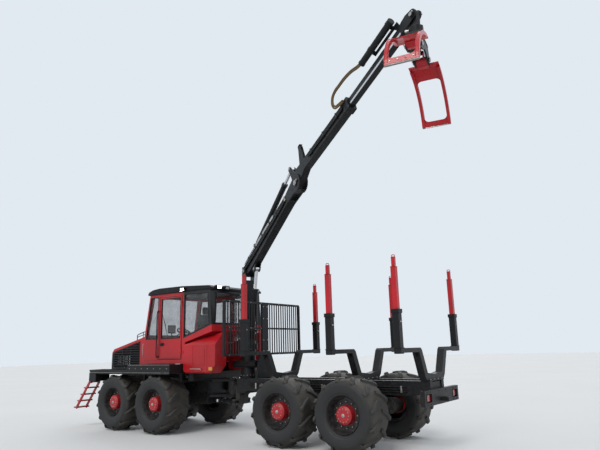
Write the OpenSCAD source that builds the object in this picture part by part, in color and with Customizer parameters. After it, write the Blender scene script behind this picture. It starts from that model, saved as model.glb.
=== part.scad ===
// Forestry forwarder: an eight wheeled load carrier that is hinged in its middle.
// Machine frame while modelling: +X forward, +Y to the machine's left, +Z up, the ground
// at Z = 0 and X = 0 at the middle of the rear bogies. place() shifts all pieces at the end
// so that the origin is under the middle of the whole machine's box.

/* [Running gear] */
// Outer diameter of a tyre over its lugs
tyre_d = 1360; // [1250:10:1450]
// Width of a tyre
tyre_w = 700; // [600:10:740]
// Height of a lug over the carcass
lug_h = 40; // [30:1:60]
// Chevron lugs on each half of a tyre
lug_count = 12; // [10:1:14]
// Width of one lug
lug_w = 80; // [60:1:90]
// Outer diameter of a rim at its bead
rim_d = 680; // [620:10:720]
// From the middle of the machine to the middle of a tyre
wheel_y = 1000; // [980:5:1080]
// Distance between the two wheels of one bogie
bogie_base = 1530; // [1480:10:1600]
// Distance between the rear and the front bogies
bogie_gap = 5290; // [5200:10:5500]
// Diameter of a planetary hub
hub_d = 350; // [300:10:400]
// Height of a bogie case
bogie_h = 330; // [280:10:380]
// Width of a bogie case
bogie_w = 170; // [140:10:190]

/* [Middle joint] */
// X of the vertical steering pins
steer_x = 3100; // [3050:5:3150]
// Height of the roll axis
roll_z = 1000; // [960:5:1040]
// Diameter of the steering pins
steer_pin_d = 90; // [70:5:110]
// Bore of a steering cylinder
steer_cyl_d = 96; // [80:2:110]

/* [Rear frame and load space] */
// Half width over the rear frame's beams
frame_half_w = 330; // [300:5:380]
// Height of the rear frame's beams
beam_h = 270; // [220:10:300]
// Width of a rear beam
beam_w = 110; // [90:5:130]
// Top of the rear frame
frame_top = 1240; // [1220:5:1260]
// X of the rear end of the frame
frame_rear_x = -2080; // [-2200:10:-2050]
// X of the three bunks, from the rear
bunk_x = [-1990, -590, 1560];
// Half distance between the stakes of a bunk
stake_y = 1350; // [1300:5:1400]
// Side of a stake tube
stake_w = 124; // [100:2:140]
// Top of the black lower stakes
stake_mid_z = 2520; // [2400:10:2600]
// Top of the wide part of a red extension
stake_red_z = 3270; // [3200:10:3300]
// Top of the thin inner stake
stake_top_z = 3440; // [3350:10:3500]
// X of the gate in front of the load
gate_x = 2120; // [2110:5:2130]
// Half width of the gate
gate_half_w = 1400; // [1300:10:1450]
// Bottom of the gate
gate_z0 = 1760; // [1700:10:1800]
// Top of the gate
gate_z1 = 2980; // [2900:10:3000]
// Bars of the gate on each side of its post
gate_bars = 13; // [9:1:15]

/* [Front body] */
// Half width of the cab
cab_half_w = 900; // [880:5:920]
// Thickness of the cab's tubes and posts
post = 70; // [60:2:80]
// Height of the cab's floor
floor_z = 1640; // [1620:5:1660]
// Highest point of the cab's roof
roof_z = 3480; // [3460:5:3500]
// Half width of the hood
hood_half_w = 740; // [700:5:760]
// X of the hood's front
hood_front_x = 6960; // [6900:10:7000]
// Height of the mudguards over the tyres
guard_gap = 42; // [30:2:60]
// Half distance between the outer faces of the side tanks
tank_half_w = 960; // [940:5:980]
// Half width of the free space between the two side tanks
tank_gap_half = 590; // [580:5:620]
// Thickness of the glass
glass_t = 8; // [6:1:10]
// Clearance between pieces that move beside each other
run_gap = 12; // [8:1:16]
// Clearance between a pane and its frame, and beside an eye in its fork
fit_gap = 0.3; // [0.3:0.1:0.5]

/* [Crane] */
// X of the crane's slewing axis
crane_x = 2620; // [2610:5:2640]
// Direction of the boom to the left of straight back, as it stands
crane_turn = 28; // [20:1:35]
// Height of the main boom's pivot
boom_pivot_z = 3780; // [3700:10:3800]
// Length of the main boom between its pivots
boom_l = 3310; // [3200:10:3400]
// Angle of the main boom over the horizontal
boom_rest = 25.5; // [20:0.5:30]
// Width of the main boom
boom_w = 190; // [170:5:200]
// Angle of the jib against the main boom
jib_rest = -8; // [-12:0.5:-4]
// Length of the jib's outer tube from its pivot
jib_l = 2240; // [2100:10:2300]
// Distance from the jib's pivot to the tip pin, with the extension out
jib_reach = 4210; // [4100:10:4300]
// Height of the jib's tube over its pivot, to the tube's middle
jib_up = 180; // [150:5:200]
// Height of the jib's tube
jib_h = 210; // [190:5:230]
// Width of the jib's tube
jib_w = 150; // [130:5:160]
// Height of the inner tube
ext_h = 150; // [130:5:160]
// Width of the inner tube
ext_w = 104; // [90:2:110]
// Outer diameter of the lift cylinder
lift_d = 140; // [120:5:150]
// Outer diameter of the jib cylinder
jibcyl_d = 120; // [100:5:130]

/* [Grapple] */
// From the tip pin down to the middle of the jaw pins
grapple_drop = 620; // [600:10:660]
// Angle of the open jaws' line against the machine's length
grapple_turn = 101; // [90:1:110]
// Half distance between the two jaw pins
jaw_pin_half = 250; // [230:5:270]
// Width of a jaw
jaw_w = 450; // [400:10:480]
// Radius of a jaw's curved back
jaw_r = 830; // [780:10:860]

/* [Hidden] */
$fn = 16;

// Colours as the photograph shows them
red = "firebrick";
black = [0.12, 0.12, 0.13];
dark = [0.2, 0.2, 0.21];
steel = "silver";
tyre_col = [0.16, 0.15, 0.14];

// Place of the origin under the middle of the whole machine's box
shift_x = 1876.47;
shift_y = 1495.06;

// Angle between two lugs of one half, and the half angle of a lug's top
lug_step = 360 / lug_count;
lug_half_a = asin(lug_w / tyre_d);
// The tyre stands on the corners of two lugs, one of each half
axle_z = tyre_d / 2 * cos(lug_step / 4 - lug_half_a);
front_x = bogie_gap;
bogie_half = bogie_base / 2;
tyre_in = wheel_y - tyre_w / 2;

module place() translate([-shift_x, -shift_y, 0]) children();

// Box between two corners
module block(x, y, z) {
    translate([x[0], y[0], z[0]]) cube([x[1] - x[0], y[1] - y[0], z[1] - z[0]]);
}

// Plate with an outline in X and Z, between y0 and y1
module plate_xz(points, y0, y1) {
    translate([0, y1, 0]) rotate([90, 0, 0]) linear_extrude(y1 - y0) polygon(points);
}

// Plate with an outline in Y and Z, between x0 and x1
module plate_yz(points, x0, x1) {
    translate([x0, 0, 0]) rotate([90, 0, 90]) linear_extrude(x1 - x0) polygon(points);
}

// Cylinder along Y
module rod_y(x, z, d, y0, y1) {
    translate([x, y1, z]) rotate([90, 0, 0]) cylinder(d = d, h = y1 - y0);
}

// Cylinder along X
module rod_x(y, z, d, x0, x1) {
    translate([x0, y, z]) rotate([0, 90, 0]) cylinder(d = d, h = x1 - x0);
}

// Round bar between two points
module bar(p, q, d) {
    v = q - p;
    l = norm(v);
    translate(p) rotate([0, acos(v[2] / l), atan2(v[1], v[0])]) cylinder(d = d, h = l);
}

// Points along an arc from angle a0 to a1
function arc_pts(c, r, a0, a1, n) =
    [for (i = [0:n]) c + r * [cos(a0 + (a1 - a0) * i / n), sin(a0 + (a1 - a0) * i / n)]];

// The same on both sides of the machine
module both_sides() {
    children();
    mirror([0, 1, 0]) children();
}

// Rest angle and length of a cylinder in an XZ plane, from its foot to its eye
function cyl_angle(foot, eye) = atan2(eye[1] - foot[1], eye[0] - foot[0]);
function cyl_length(foot, eye) = norm(eye - foot);

// Barrel along +X from its foot eye at the origin, open at its far end for the rod; its
// tube starts at the neck, clear of the ears beside the eye
module barrel(d, l, rod_d, eye_d, eye_w, pin_d, neck) {
    head_l = d * 0.45;
    difference() {
        union() {
            translate([neck, 0, 0]) rotate([0, 90, 0]) cylinder(d = d, h = l - neck);
            translate([l - head_l, 0, 0]) rotate([0, 90, 0]) cylinder(d = d * 1.12, h = head_l);
            rod_y(0, 0, eye_d, -eye_w / 2, eye_w / 2);
            block([0, neck + 5], [-eye_w / 2, eye_w / 2], [-eye_d * 0.3, eye_d * 0.3]);
        }
        rod_y(0, 0, pin_d + 2 * fit_gap, -eye_w, eye_w);
        translate([neck + 8, 0, 0]) rotate([0, 90, 0]) cylinder(d = rod_d + 2 * fit_gap, h = l);
    }
}

// Rod along +X from x0 inside the barrel to its eye's middle at x1
module rod(d, x0, x1, eye_d, eye_w) {
    difference() {
        union() {
            translate([x0, 0, 0]) rotate([0, 90, 0]) cylinder(d = d, h = x1 - x0 - eye_d * 0.3);
            rod_y(x1, 0, eye_d, -eye_w / 2, eye_w / 2);
        }
        rod_y(x1, 0, eye_d * 0.5, -eye_w, eye_w);
    }
}

// Running gear

// Radius of the tread's floor, and the sidewall: radius and distance from the middle, outward
tread_r = tyre_d / 2 - lug_h;
shoulder_y = tyre_w * 0.46;
shoulder_scale = 0.95;
sidewall = [[tyre_d * 0.425, shoulder_y], [tyre_d * 0.33, tyre_w * 0.5]];
bead_y = tyre_w * 0.4;
tyre_sides = 18;

function ngon(r) = [for (i = [0:tyre_sides - 1]) let(a = (i + 0.5) * 360 / tyre_sides) r * [cos(a),
    sin(a)]];

// Outline of one half's tread where it starts in the middle: lugs with sloping flanks
foot_half_a = lug_half_a * 1.3;
tread_ring = [for (i = [0:lug_count - 1], c = [[tread_r, -foot_half_a], [tyre_d / 2, -lug_half_a],
    [tyre_d / 2, lug_half_a], [tread_r, foot_half_a]]) let(a = c[1] + i * lug_step) c[0] * [cos(a),
        sin(a)]];

// Frustum of flat sides along Z, from one radius and height to the next
module frustum(p, q) {
    translate([0, 0, p[1]]) linear_extrude(q[1] - p[1], scale = q[0] / p[0]) polygon(ngon(p[0]));
}

// Tyre about Z: each half's lugs lean back towards the shoulder, between those of the other
module tyre_body() {
    // The bore's flats lie on the rim
    bore_r = rim_d / 2 / cos(180 / tyre_sides);
    difference() {
        for (s = [0, 1]) mirror([0, 0, s]) {
            rotate([0, 0, -90 + (s - 0.5) * lug_step / 2])
                linear_extrude(shoulder_y, twist = -lug_step / 2, scale = shoulder_scale, slices = 1)
                    polygon(tread_ring);
            frustum(sidewall[0], sidewall[1]);
        }
        translate([0, 0, -tyre_w]) linear_extrude(2 * tyre_w) polygon(ngon(bore_r));
        // Sidewalls are dished down to the bead
        for (s = [0, 1]) mirror([0, 0, s]) frustum([bore_r, bead_y], [sidewall[1][0],
            sidewall[1][1] + 0.01]);
    }
}

module tyre(x, side) {
    color(tyre_col) place() translate([x, side * wheel_y, axle_z]) rotate([90, 0, 0]) tyre_body();
}

// Dished rim with a planetary hub that stands out of it: radius and distance outward
module wheel(x, side) {
    rim_out = tyre_w * 0.42;
    dish = tyre_w * 0.16;
    color(red) place() translate([x, side * wheel_y, axle_z]) mirror([0, side > 0 ? 0 : 1, 0])
        rotate([-90, 0, 0]) rotate_extrude() polygon([
            [0, -60], [hub_d / 2 + 20, -60], [hub_d / 2 + 20, dish - 20], [rim_d / 2 - 60, dish - 20],
            [rim_d / 2 - 60, -tyre_w * 0.36], [rim_d / 2 - 8, -tyre_w * 0.39],
            [rim_d / 2 - fit_gap, -tyre_w * 0.38], [rim_d / 2 - fit_gap, tyre_w * 0.38],
            [rim_d / 2 - 14, rim_out], [rim_d / 2 - 46, dish + 20], [hub_d / 2, dish + 20],
            [hub_d / 2 - 10, tyre_w * 0.37], [hub_d / 2 - 50, tyre_w * 0.41], [0, tyre_w * 0.415]
        ]);
}

// Top of an axle's saddle over the axle
axle_box = 190;

// Axle with a bogie case on each side; stubs reach into the hubs' backs
module bogie_axle(x) {
    case_y = tyre_in - run_gap - bogie_w;
    hub_back = wheel_y - 60;
    rod_y(x, axle_z, 250, -case_y - 5, case_y + 5);
    block([x - 150, x + 150], [-190, 190], [axle_z - 170, axle_z + axle_box]);
    both_sides() {
        translate([0, case_y, 0]) {
            for (s = [-1, 1]) rod_y(x + s * bogie_half, axle_z, bogie_h, 0, bogie_w);
            block([x - bogie_half, x + bogie_half], [0, bogie_w], [axle_z - bogie_h / 2,
                axle_z + bogie_h / 2]);
        }
        rod_y(x, axle_z, 380, case_y - 60, case_y + 10);
        for (s = [-1, 1])
            rod_y(x + s * bogie_half, axle_z, hub_d - 60, case_y + bogie_w - 5, hub_back - fit_gap);
    }
}

// Middle joint

fork_gap = 150;

// Steering cylinders lie under the joint: foot on the joint, eye on the front frame, X and Y
steer_z = 700;
steer_foot = [steer_x - 240, 240];
steer_eye = [steer_x + 440, 100];
steer_l = norm(steer_eye - steer_foot);
steer_a = atan2(steer_eye[1] - steer_foot[1], steer_eye[0] - steer_foot[0]);
steer_eye_w = 60;
steer_eye_d = 100;
roll_pin_d = 160;

module middle_joint_body() {
    difference() {
        union() {
            rod_x(0, roll_z, roll_pin_d, steer_x - 480, steer_x - 300);
            rod_x(0, roll_z, 300, steer_x - 330, steer_x - 240);
            rod_x(0, roll_z, 190, steer_x - 250, steer_x - 90);
            translate([steer_x, 0, roll_z - fork_gap]) cylinder(d = 210, h = 2 * fork_gap);
            // Arms down to the cylinders' feet
            block([steer_x - 325, steer_x - 205], [-160, 160], [steer_z - 60, roll_z]);
            both_sides() for (z = [steer_z - steer_eye_w / 2 - fit_gap - 26,
                steer_z + steer_eye_w / 2 + fit_gap]) {
                block([steer_x - 325, steer_foot[0] + 20], [100, steer_foot[1]], [z, z + 26]);
                translate([steer_foot[0], steer_foot[1], z]) cylinder(d = 110, h = 26);
            }
        }
        translate([steer_x, 0, roll_z - fork_gap - 1])
            cylinder(d = steer_pin_d + 2 * fit_gap, h = 2 * fork_gap + 2);
    }
    both_sides() translate([steer_foot[0], steer_foot[1], steer_z - 62]) cylinder(d = 50, h = 124);
}

// The cylinder lies flat, so its pins stand upright
module at_steer(side) {
    mirror([0, side > 0 ? 0 : 1, 0]) translate([steer_foot[0], steer_foot[1], steer_z])
        rotate([0, 0, steer_a]) rotate([90, 0, 0]) children();
}

// Rear frame and load space

// The two long beams, low at the front where the nose is
module rear_chassis_body() {
    z0 = frame_top - beam_h;
    both_sides() {
        plate_xz([[frame_rear_x, z0 + 60], [frame_rear_x + 350, z0], [steer_x - 700, z0],
            [steer_x - 520, z0 - 60], [steer_x - 400, z0 - 60], [steer_x - 400, frame_top],
            [frame_rear_x, frame_top]], frame_half_w - beam_w, frame_half_w);
    }
}

// What joins the beams: crossmembers, the saddle over the axle, the nose with the roll bearing
module rear_crossmembers_body() {
    z0 = frame_top - beam_h;
    inner_y = frame_half_w - beam_w;
    for (x = [frame_rear_x + 20, -1200, -300, 300, 1100, 1900])
        block([x, x + 100], [-inner_y, inner_y], [z0 + 40, frame_top - 20]);
    block([-200, 200], [-frame_half_w, frame_half_w], [axle_z + axle_box, z0]);
    difference() {
        union() {
            block([steer_x - 700, steer_x - 400], [-inner_y, inner_y], [z0 - 60, frame_top]);
            rod_x(0, roll_z, 340, steer_x - 410, steer_x - 330 - fit_gap);
        }
        rod_x(0, roll_z, roll_pin_d + 2 * fit_gap, steer_x - 500, steer_x - 300);
    }
}

// Bumper across the rear end, with the towing lug
module rear_bumper_body() {
    difference() {
        block([frame_rear_x - 90, frame_rear_x], [-820, 820], [830, 1100]);
        both_sides() block([frame_rear_x - 100, frame_rear_x + 10], [520, 740], [890, 1040]);
    }
    difference() {
        block([frame_rear_x - 230, frame_rear_x - 80], [-70, 70], [880, 950]);
        translate([frame_rear_x - 165, 0, 870]) cylinder(d = 60, h = 90);
    }
}

// Bunk: foot, leaning arms, level ends and the lower stakes; outline in Y and Z
module bunk(x) {
    arm_t = 70;
    arm = [[0, frame_top + 20], [400, frame_top + 20], [470, frame_top + 90], [665, 1770],
        [stake_y + 60, 1770], [stake_y + 60, 1850], [600, 1850], [540, 1810], [350, frame_top + 150],
        [0, frame_top + 110]];
    color(black) place() {
        both_sides() {
            plate_yz(arm, x - arm_t, x + arm_t);
            difference() {
                union() {
                    block([x - stake_w / 2, x + stake_w / 2], [stake_y - stake_w / 2,
                        stake_y + stake_w / 2],
                        [1755, stake_mid_z]);
                    block([x - stake_w / 2 - 12, x + stake_w / 2 + 12],
                        [stake_y - stake_w / 2 - 12, stake_y + stake_w / 2 + 12], [stake_mid_z - 70,
                            stake_mid_z]);
                }
                block([x - stake_w / 2 + 16, x + stake_w / 2 - 16],
                    [stake_y - stake_w / 2 + 16, stake_y + stake_w / 2 - 16],
                    [stake_mid_z - 300, stake_mid_z + 1]);
            }
        }
        block([x - 100, x + 100], [-frame_half_w, frame_half_w], [frame_top, frame_top + 22]);
    }
}

module stake_extension(x) {
    w = stake_w - 32 - 2 * fit_gap;
    block([x - w / 2, x + w / 2], [stake_y - w / 2, stake_y + w / 2], [stake_mid_z - 300 + fit_gap,
        stake_red_z]);
    block([x - w / 3, x + w / 3], [stake_y - w / 3, stake_y + w / 3], [stake_red_z - 5, stake_top_z]);
}

// Thickness of the gate's frame, its width as seen, and the half width of its middle post
gate_t = 60;
gate_edge = 48;
gate_post = 110;

module gate_body() {
    t = gate_t / 2;
    corner = 36;
    in_y = gate_half_w - gate_edge;
    in_z = gate_z1 - gate_edge;
    difference() {
        plate_yz([[-gate_half_w, gate_z0], [gate_half_w, gate_z0], [gate_half_w, gate_z1 - corner],
            [gate_half_w - corner, gate_z1], [-gate_half_w + corner, gate_z1], [-gate_half_w,
                gate_z1 - corner]],
            gate_x - t, gate_x + t);
        both_sides() block([gate_x - t - 1, gate_x + t + 1], [gate_post, in_y], [gate_z0 + gate_edge,
            in_z]);
    }
    pitch = (in_y - gate_post) / (gate_bars + 1);
    both_sides() {
        for (i = [1:gate_bars])
            block([gate_x - 10, gate_x + 10], [gate_post + i * pitch - 11, gate_post + i * pitch + 11],
                [gate_z0 + gate_edge - 5, in_z + 5]);
        block([gate_x - 16, gate_x + 16], [gate_post - 5, in_y + 5], [2350, 2390]);
    }
    // Pedestal down to the frame
    plate_yz([[-frame_half_w, frame_top], [frame_half_w, frame_top], [180, gate_z0 + 10], [-180,
        gate_z0 + 10]],
        gate_x - t, gate_x + t);
}

// Crane: local frames, X outward along the boom

foot_r = 225;
foot_z = 2330;
lift_at = [500, -245];
lift_foot = [foot_r, foot_z];
lift_eye = [lift_at[0] * cos(boom_rest) - lift_at[1] * sin(boom_rest),
    boom_pivot_z + lift_at[0] * sin(boom_rest) + lift_at[1] * cos(boom_rest)];
lift_l = cyl_length(lift_foot, lift_eye);
lift_a = cyl_angle(lift_foot, lift_eye);
lift_barrel_l = 1000;

module in_crane() place() translate([crane_x, 0, 0]) rotate([0, 0, 180 - crane_turn]) children();
module in_boom() in_crane() translate([0, 0, boom_pivot_z]) rotate([0, -boom_rest, 0]) children();
module in_jib() in_boom() translate([boom_l, 0, 0]) rotate([0, -jib_rest, 0]) children();
module in_tip() in_jib() translate([jib_reach, 0, jib_up]) rotate([0, boom_rest + jib_rest, 0]) children();
// Level frame under the tip, turned to the jaws' line
module in_grapple() in_tip() rotate([0, 0, grapple_turn - 180 + crane_turn]) children();

base_top = 1960;
pillar_w = 230;

module crane_base_body() {
    translate([crane_x, 0, frame_top + fit_gap]) {
        cylinder(d = 430, h = 60);
        cylinder(d1 = 420, d2 = 340, h = 260);
        cylinder(d = 340, h = base_top - frame_top - fit_gap);
        translate([0, 0, base_top - frame_top - 60 - fit_gap]) cylinder(d = 440, h = 60);
    }
    // Rack housings along both sides of the base
    for (s = [-1, 1]) rod_x(s * 125, 1560, 170, crane_x - 340, crane_x + 310);
}

module crane_pillar_body() {
    translate([0, 0, base_top + fit_gap]) cylinder(d = 440, h = 60);
    translate([0, 0, base_top + 50]) cylinder(d1 = 400, d2 = pillar_w, h = 160);
    block([-pillar_w / 2, pillar_w / 2], [-pillar_w / 2, pillar_w / 2], [base_top + 150,
        boom_pivot_z - 230]);
    for (s = [-1, 1]) mirror([0, s > 0 ? 0 : 1, 0]) {
        plate_xz([[-pillar_w / 2, boom_pivot_z - 500], [pillar_w / 2, boom_pivot_z - 500],
            [120, boom_pivot_z - 60], [90, boom_pivot_z + 100], [-90, boom_pivot_z + 120],
            [-pillar_w / 2, boom_pivot_z]], boom_w / 2 + fit_gap, boom_w / 2 + fit_gap + 34);
        plate_xz([[100, foot_z - 110], [foot_r + 20, foot_z - 70], [foot_r + 60, foot_z],
            [foot_r + 20, foot_z + 60], [100, foot_z + 100]], 45 + fit_gap, 75 + fit_gap);
    }
    rod_y(0, boom_pivot_z, 90, -boom_w / 2 - 50, boom_w / 2 + 50);
    rod_y(foot_r, foot_z, 56, -85, 85);
}

jibcyl_foot = [760, 250];
lug_a = 105;
lug_l = 540;
jibcyl_eye = [boom_l + lug_l * cos(lug_a), lug_l * sin(lug_a)];
jibcyl_l = cyl_length(jibcyl_foot, jibcyl_eye);
jibcyl_a = cyl_angle(jibcyl_foot, jibcyl_eye);
jibcyl_barrel_l = 2000;

// Radius of the boom's cheeks around the jib's pivot
knuckle_r = 190;

module main_boom_body() {
    difference() {
        union() {
            plate_xz([[-110, -90], [0, -125], [300, -170], [boom_l * 0.55, -130], [boom_l - 420, -105],
                [boom_l - 420, 105], [boom_l * 0.55, 150], [500, 170], [200, 165], [-60, 110], [-110, 60]],
                -boom_w / 2, boom_w / 2);
            for (s = [-1, 1]) mirror([0, s > 0 ? 0 : 1, 0]) {
                plate_xz(concat([[boom_l - 560, -100]], arc_pts([boom_l, 0], knuckle_r, -130, 75, 10),
                    [[boom_l - 560, 100]]), jib_w / 2 + fit_gap, jib_w / 2 + 24);
                // Ears for the lift cylinder
                plate_xz([[330, -120], [lift_at[0] - 75, lift_at[1]], [lift_at[0] - 40, lift_at[1] - 65],
                    [lift_at[0] + 40, lift_at[1] - 65], [lift_at[0] + 80, lift_at[1]], [760, -120]],
                        45 + fit_gap, 75);
                // Ears for the jib cylinder
                plate_xz([[620, 140], [jibcyl_foot[0] - 60, jibcyl_foot[1]], [jibcyl_foot[0],
                    jibcyl_foot[1] + 60],
                    [jibcyl_foot[0] + 60, jibcyl_foot[1]], [880, 130]], 40 + fit_gap, 66);
            }
            rod_y(jibcyl_foot[0], jibcyl_foot[1], 50, -74, 74);
            rod_y(boom_l, 0, 80, -jib_w / 2 - 40, jib_w / 2 + 40);
            rod_y(boom_l, 0, 170, jib_w / 2 + 20, jib_w / 2 + 34);
            rod_y(boom_l, 0, 170, -jib_w / 2 - 34, -jib_w / 2 - 20);
        }
        rod_y(0, 0, 90 + 2 * fit_gap, -boom_w, boom_w);
    }
}

module jib_body() {
    low = jib_up - jib_h / 2;
    top = jib_up + jib_h / 2;
    difference() {
        union() {
            // Knuckle end at the pivot, which carries the tube above it
            plate_xz(concat(arc_pts([0, 0], 115, 170, 300, 6), [[420, low], [jib_l, low], [jib_l, top],
                [90, top], [-60, top - 60]]), -jib_w / 2, jib_w / 2);
            block([jib_l - 110, jib_l + 40], [-jib_w / 2 - 14, jib_w / 2 + 14], [low - 14, top + 14]);
            for (s = [-1, 1]) mirror([0, s > 0 ? 0 : 1, 0]) {
                // Lug for the jib cylinder
                rotate([0, -(lug_a - jib_rest), 0])
                    plate_xz([[0, -110], [lug_l * 0.7, -70], [lug_l + 20, -50], [lug_l + 55, 0],
                        [lug_l + 20, 50], [lug_l * 0.7, 60], [60, 120]], 40 + fit_gap, 66);
                // Hose bracket on the tube's rear end
                plate_xz([[180, top - 10], [400, top - 10], [350, 700], [310, 745], [250, 740], [250,
                    660]], 20, 32);
            }
            block([262, 330], [-25, 25], [690, 730]);
        }
        rod_y(0, 0, 80 + 2 * fit_gap, -boom_w, boom_w);
        block([300, jib_l + 60], [-ext_w / 2 - fit_gap, ext_w / 2 + fit_gap],
            [jib_up - ext_h / 2 - fit_gap, jib_up + ext_h / 2 + fit_gap]);
    }
}

// Hose tube beside the extension: diameter, ends, and place against the extension's middle
hose_tube_d = 110;
hose_tube_x = [2950, 3870];
hose_tube_y = -130;
hose_tube_up = 230;

module extension_body() {
    // Ears and bosses at the tip pin, drawn about it
    translate([jib_reach, 0, jib_up]) for (s = [-1, 1]) mirror([0, s > 0 ? 0 : 1, 0]) {
        plate_xz(concat([[-300, -ext_h / 2], [-110, -90]], arc_pts([0, 0], 85, -100, 80, 8),
            [[-120, 115], [-240, 100], [-300, ext_h / 2]]), 35 + fit_gap, 62);
        rod_y(0, 0, 120, 60, 72);
    }
    rod_y(jib_reach, jib_up, 50, -84, 84);
    block([jib_l - 230, jib_reach - 170], [-ext_w / 2, ext_w / 2], [jib_up - ext_h / 2,
        jib_up + ext_h / 2]);
    // Saddle from the outer end of the extension back along the hose tube
    plate_xz([[hose_tube_x[1] - 30, jib_up + ext_h / 2 - 5], [hose_tube_x[1] + 60, jib_up + ext_h / 2 - 5],
        [hose_tube_x[1] + 20, jib_up + hose_tube_up - 20], [hose_tube_x[0] + 250,
            jib_up + hose_tube_up - 20],
        [hose_tube_x[0] + 280, jib_up + 150], [hose_tube_x[1] - 85, jib_up + 150]], -ext_w / 2,
            -ext_w / 2 + 14);
    for (x = [hose_tube_x[0] + 270, hose_tube_x[1] - 120])
        block([x, x + 60], [hose_tube_y, -ext_w / 2 + 10], [jib_up + hose_tube_up - 45,
            jib_up + hose_tube_up - 20]);
    rod_x(hose_tube_y, jib_up + hose_tube_up, hose_tube_d, hose_tube_x[0], hose_tube_x[1]);
}

// Link that hangs from the tip, and the rotator under it; Z down from the tip pin
link_low = -215;

module tip_link_body() {
    difference() {
        union() {
            rod_y(0, 0, 150, -35, 35);
            plate_xz([[-75, 0], [-62, -190], [62, -190], [75, 0]], -35, 35);
            block([-75, 75], [-75, 75], [link_low, -182]);
        }
        rod_y(0, 0, 50 + 2 * fit_gap, -40, 40);
    }
}

module rotator_body() {
    translate([0, 0, -330]) cylinder(d = 220, h = 330 + link_low - fit_gap);
    for (a = [0:60:300]) rotate([0, 0, a]) translate([104, 0, -320]) cylinder(d = 26, h = 90);
    translate([0, 0, -352]) cylinder(d = 150, h = 30);
}

// Grapple: X along the jaws' opening line
horn_l = 112;
horn_a = 123.7;
jaw_hub_d = 110;
horn = horn_l * [cos(horn_a), sin(horn_a)];
grapcyl_l = 2 * (jaw_pin_half + horn[0]);

module grapple_frame_body() {
    translate([0, 0, -400]) cylinder(d = 190, h = 48 - fit_gap);
    block([-240, 240], [-110, 110], [-430, -395]);
    for (s = [-1, 1]) mirror([0, s > 0 ? 0 : 1, 0])
        plate_xz([[-240, -425], [-jaw_pin_half - 80, -grapple_drop + 10], [-jaw_pin_half - 40,
            -grapple_drop - 70],
            [-jaw_pin_half + 60, -grapple_drop - 60], [0, -grapple_drop + 30],
            [jaw_pin_half - 60, -grapple_drop - 60], [jaw_pin_half + 40, -grapple_drop - 70],
            [jaw_pin_half + 80, -grapple_drop + 10], [240, -425]], 85, 110);
    for (s = [-1, 1]) rod_y(s * jaw_pin_half, -grapple_drop, 60, -122, 122);
}

// Jaw on the +X side, local origin on its pin; its back is an arc about a centre below.
// Curved plate between two radii and two angles
module jaw_shell(t0, t1, a0, a1, y0, y1) {
    c = [60, -jaw_r];
    n = round((a0 - a1) / jaw_step_a);
    plate_xz(concat(arc_pts(c, jaw_r + t1, a0, a1, n), arc_pts(c, jaw_r + t0, a1, a0, n)), y0, y1);
}

// Angles about the centre of the jaw's back, all on one grid: the plate's end and the tip
jaw_step_a = 6;
jaw_plate_a = 63;
jaw_tip_a = 9;

module jaw_body() {
    w = jaw_w / 2;
    difference() {
        union() {
            // Side rails, the solid plate near the pin and the bar at the tip
            for (s = [-1, 1]) mirror([0, s > 0 ? 0 : 1, 0])
                jaw_shell(-48, 0, jaw_plate_a + 3 * jaw_step_a, jaw_tip_a, w - 46, w);
            jaw_shell(-18, 0, jaw_plate_a + 4 * jaw_step_a, jaw_plate_a, -w, w);
            jaw_shell(-32, 0, jaw_tip_a + jaw_step_a, jaw_tip_a, -w, w);
            rod_y(0, 0, jaw_hub_d, -85 + fit_gap, 85 - fit_gap);
            // Neck from the pin to the plate
            plate_xz([[-20, -50], [60, -66], [180, -40], [180, 0], [0, 52]], -85 + fit_gap, 85 - fit_gap);
            for (s = [-1, 1]) mirror([0, s > 0 ? 0 : 1, 0])
                rotate([0, -horn_a, 0]) plate_xz([[0, -52], [horn_l, -34], [horn_l + 34, 0], [horn_l, 34],
                    [0, 52]], 30 + fit_gap, 54);
        }
        rod_y(0, 0, 60 + 2 * fit_gap, -w - 1, w + 1);
    }
}

module at_jaw(side) in_grapple() rotate([0, 0, side > 0 ? 0 : 180])
    translate([jaw_pin_half, 0, -grapple_drop]) children();

// Front body

chassis_top = 1200;
// Inner and outer side of a rail of the front frame
rail_y = [300, 400];
chassis_front_x = hood_front_x + 40;
tank_z0 = 1380;
// Underside of the mudguards
deck_z0 = axle_z + tyre_d / 2 + guard_gap;
deck_front_x = chassis_front_x + 70;
cab_foot_x = [3900, 5250];
hinge_z = 1425;
hinge_x = hood_front_x - 70;

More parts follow.
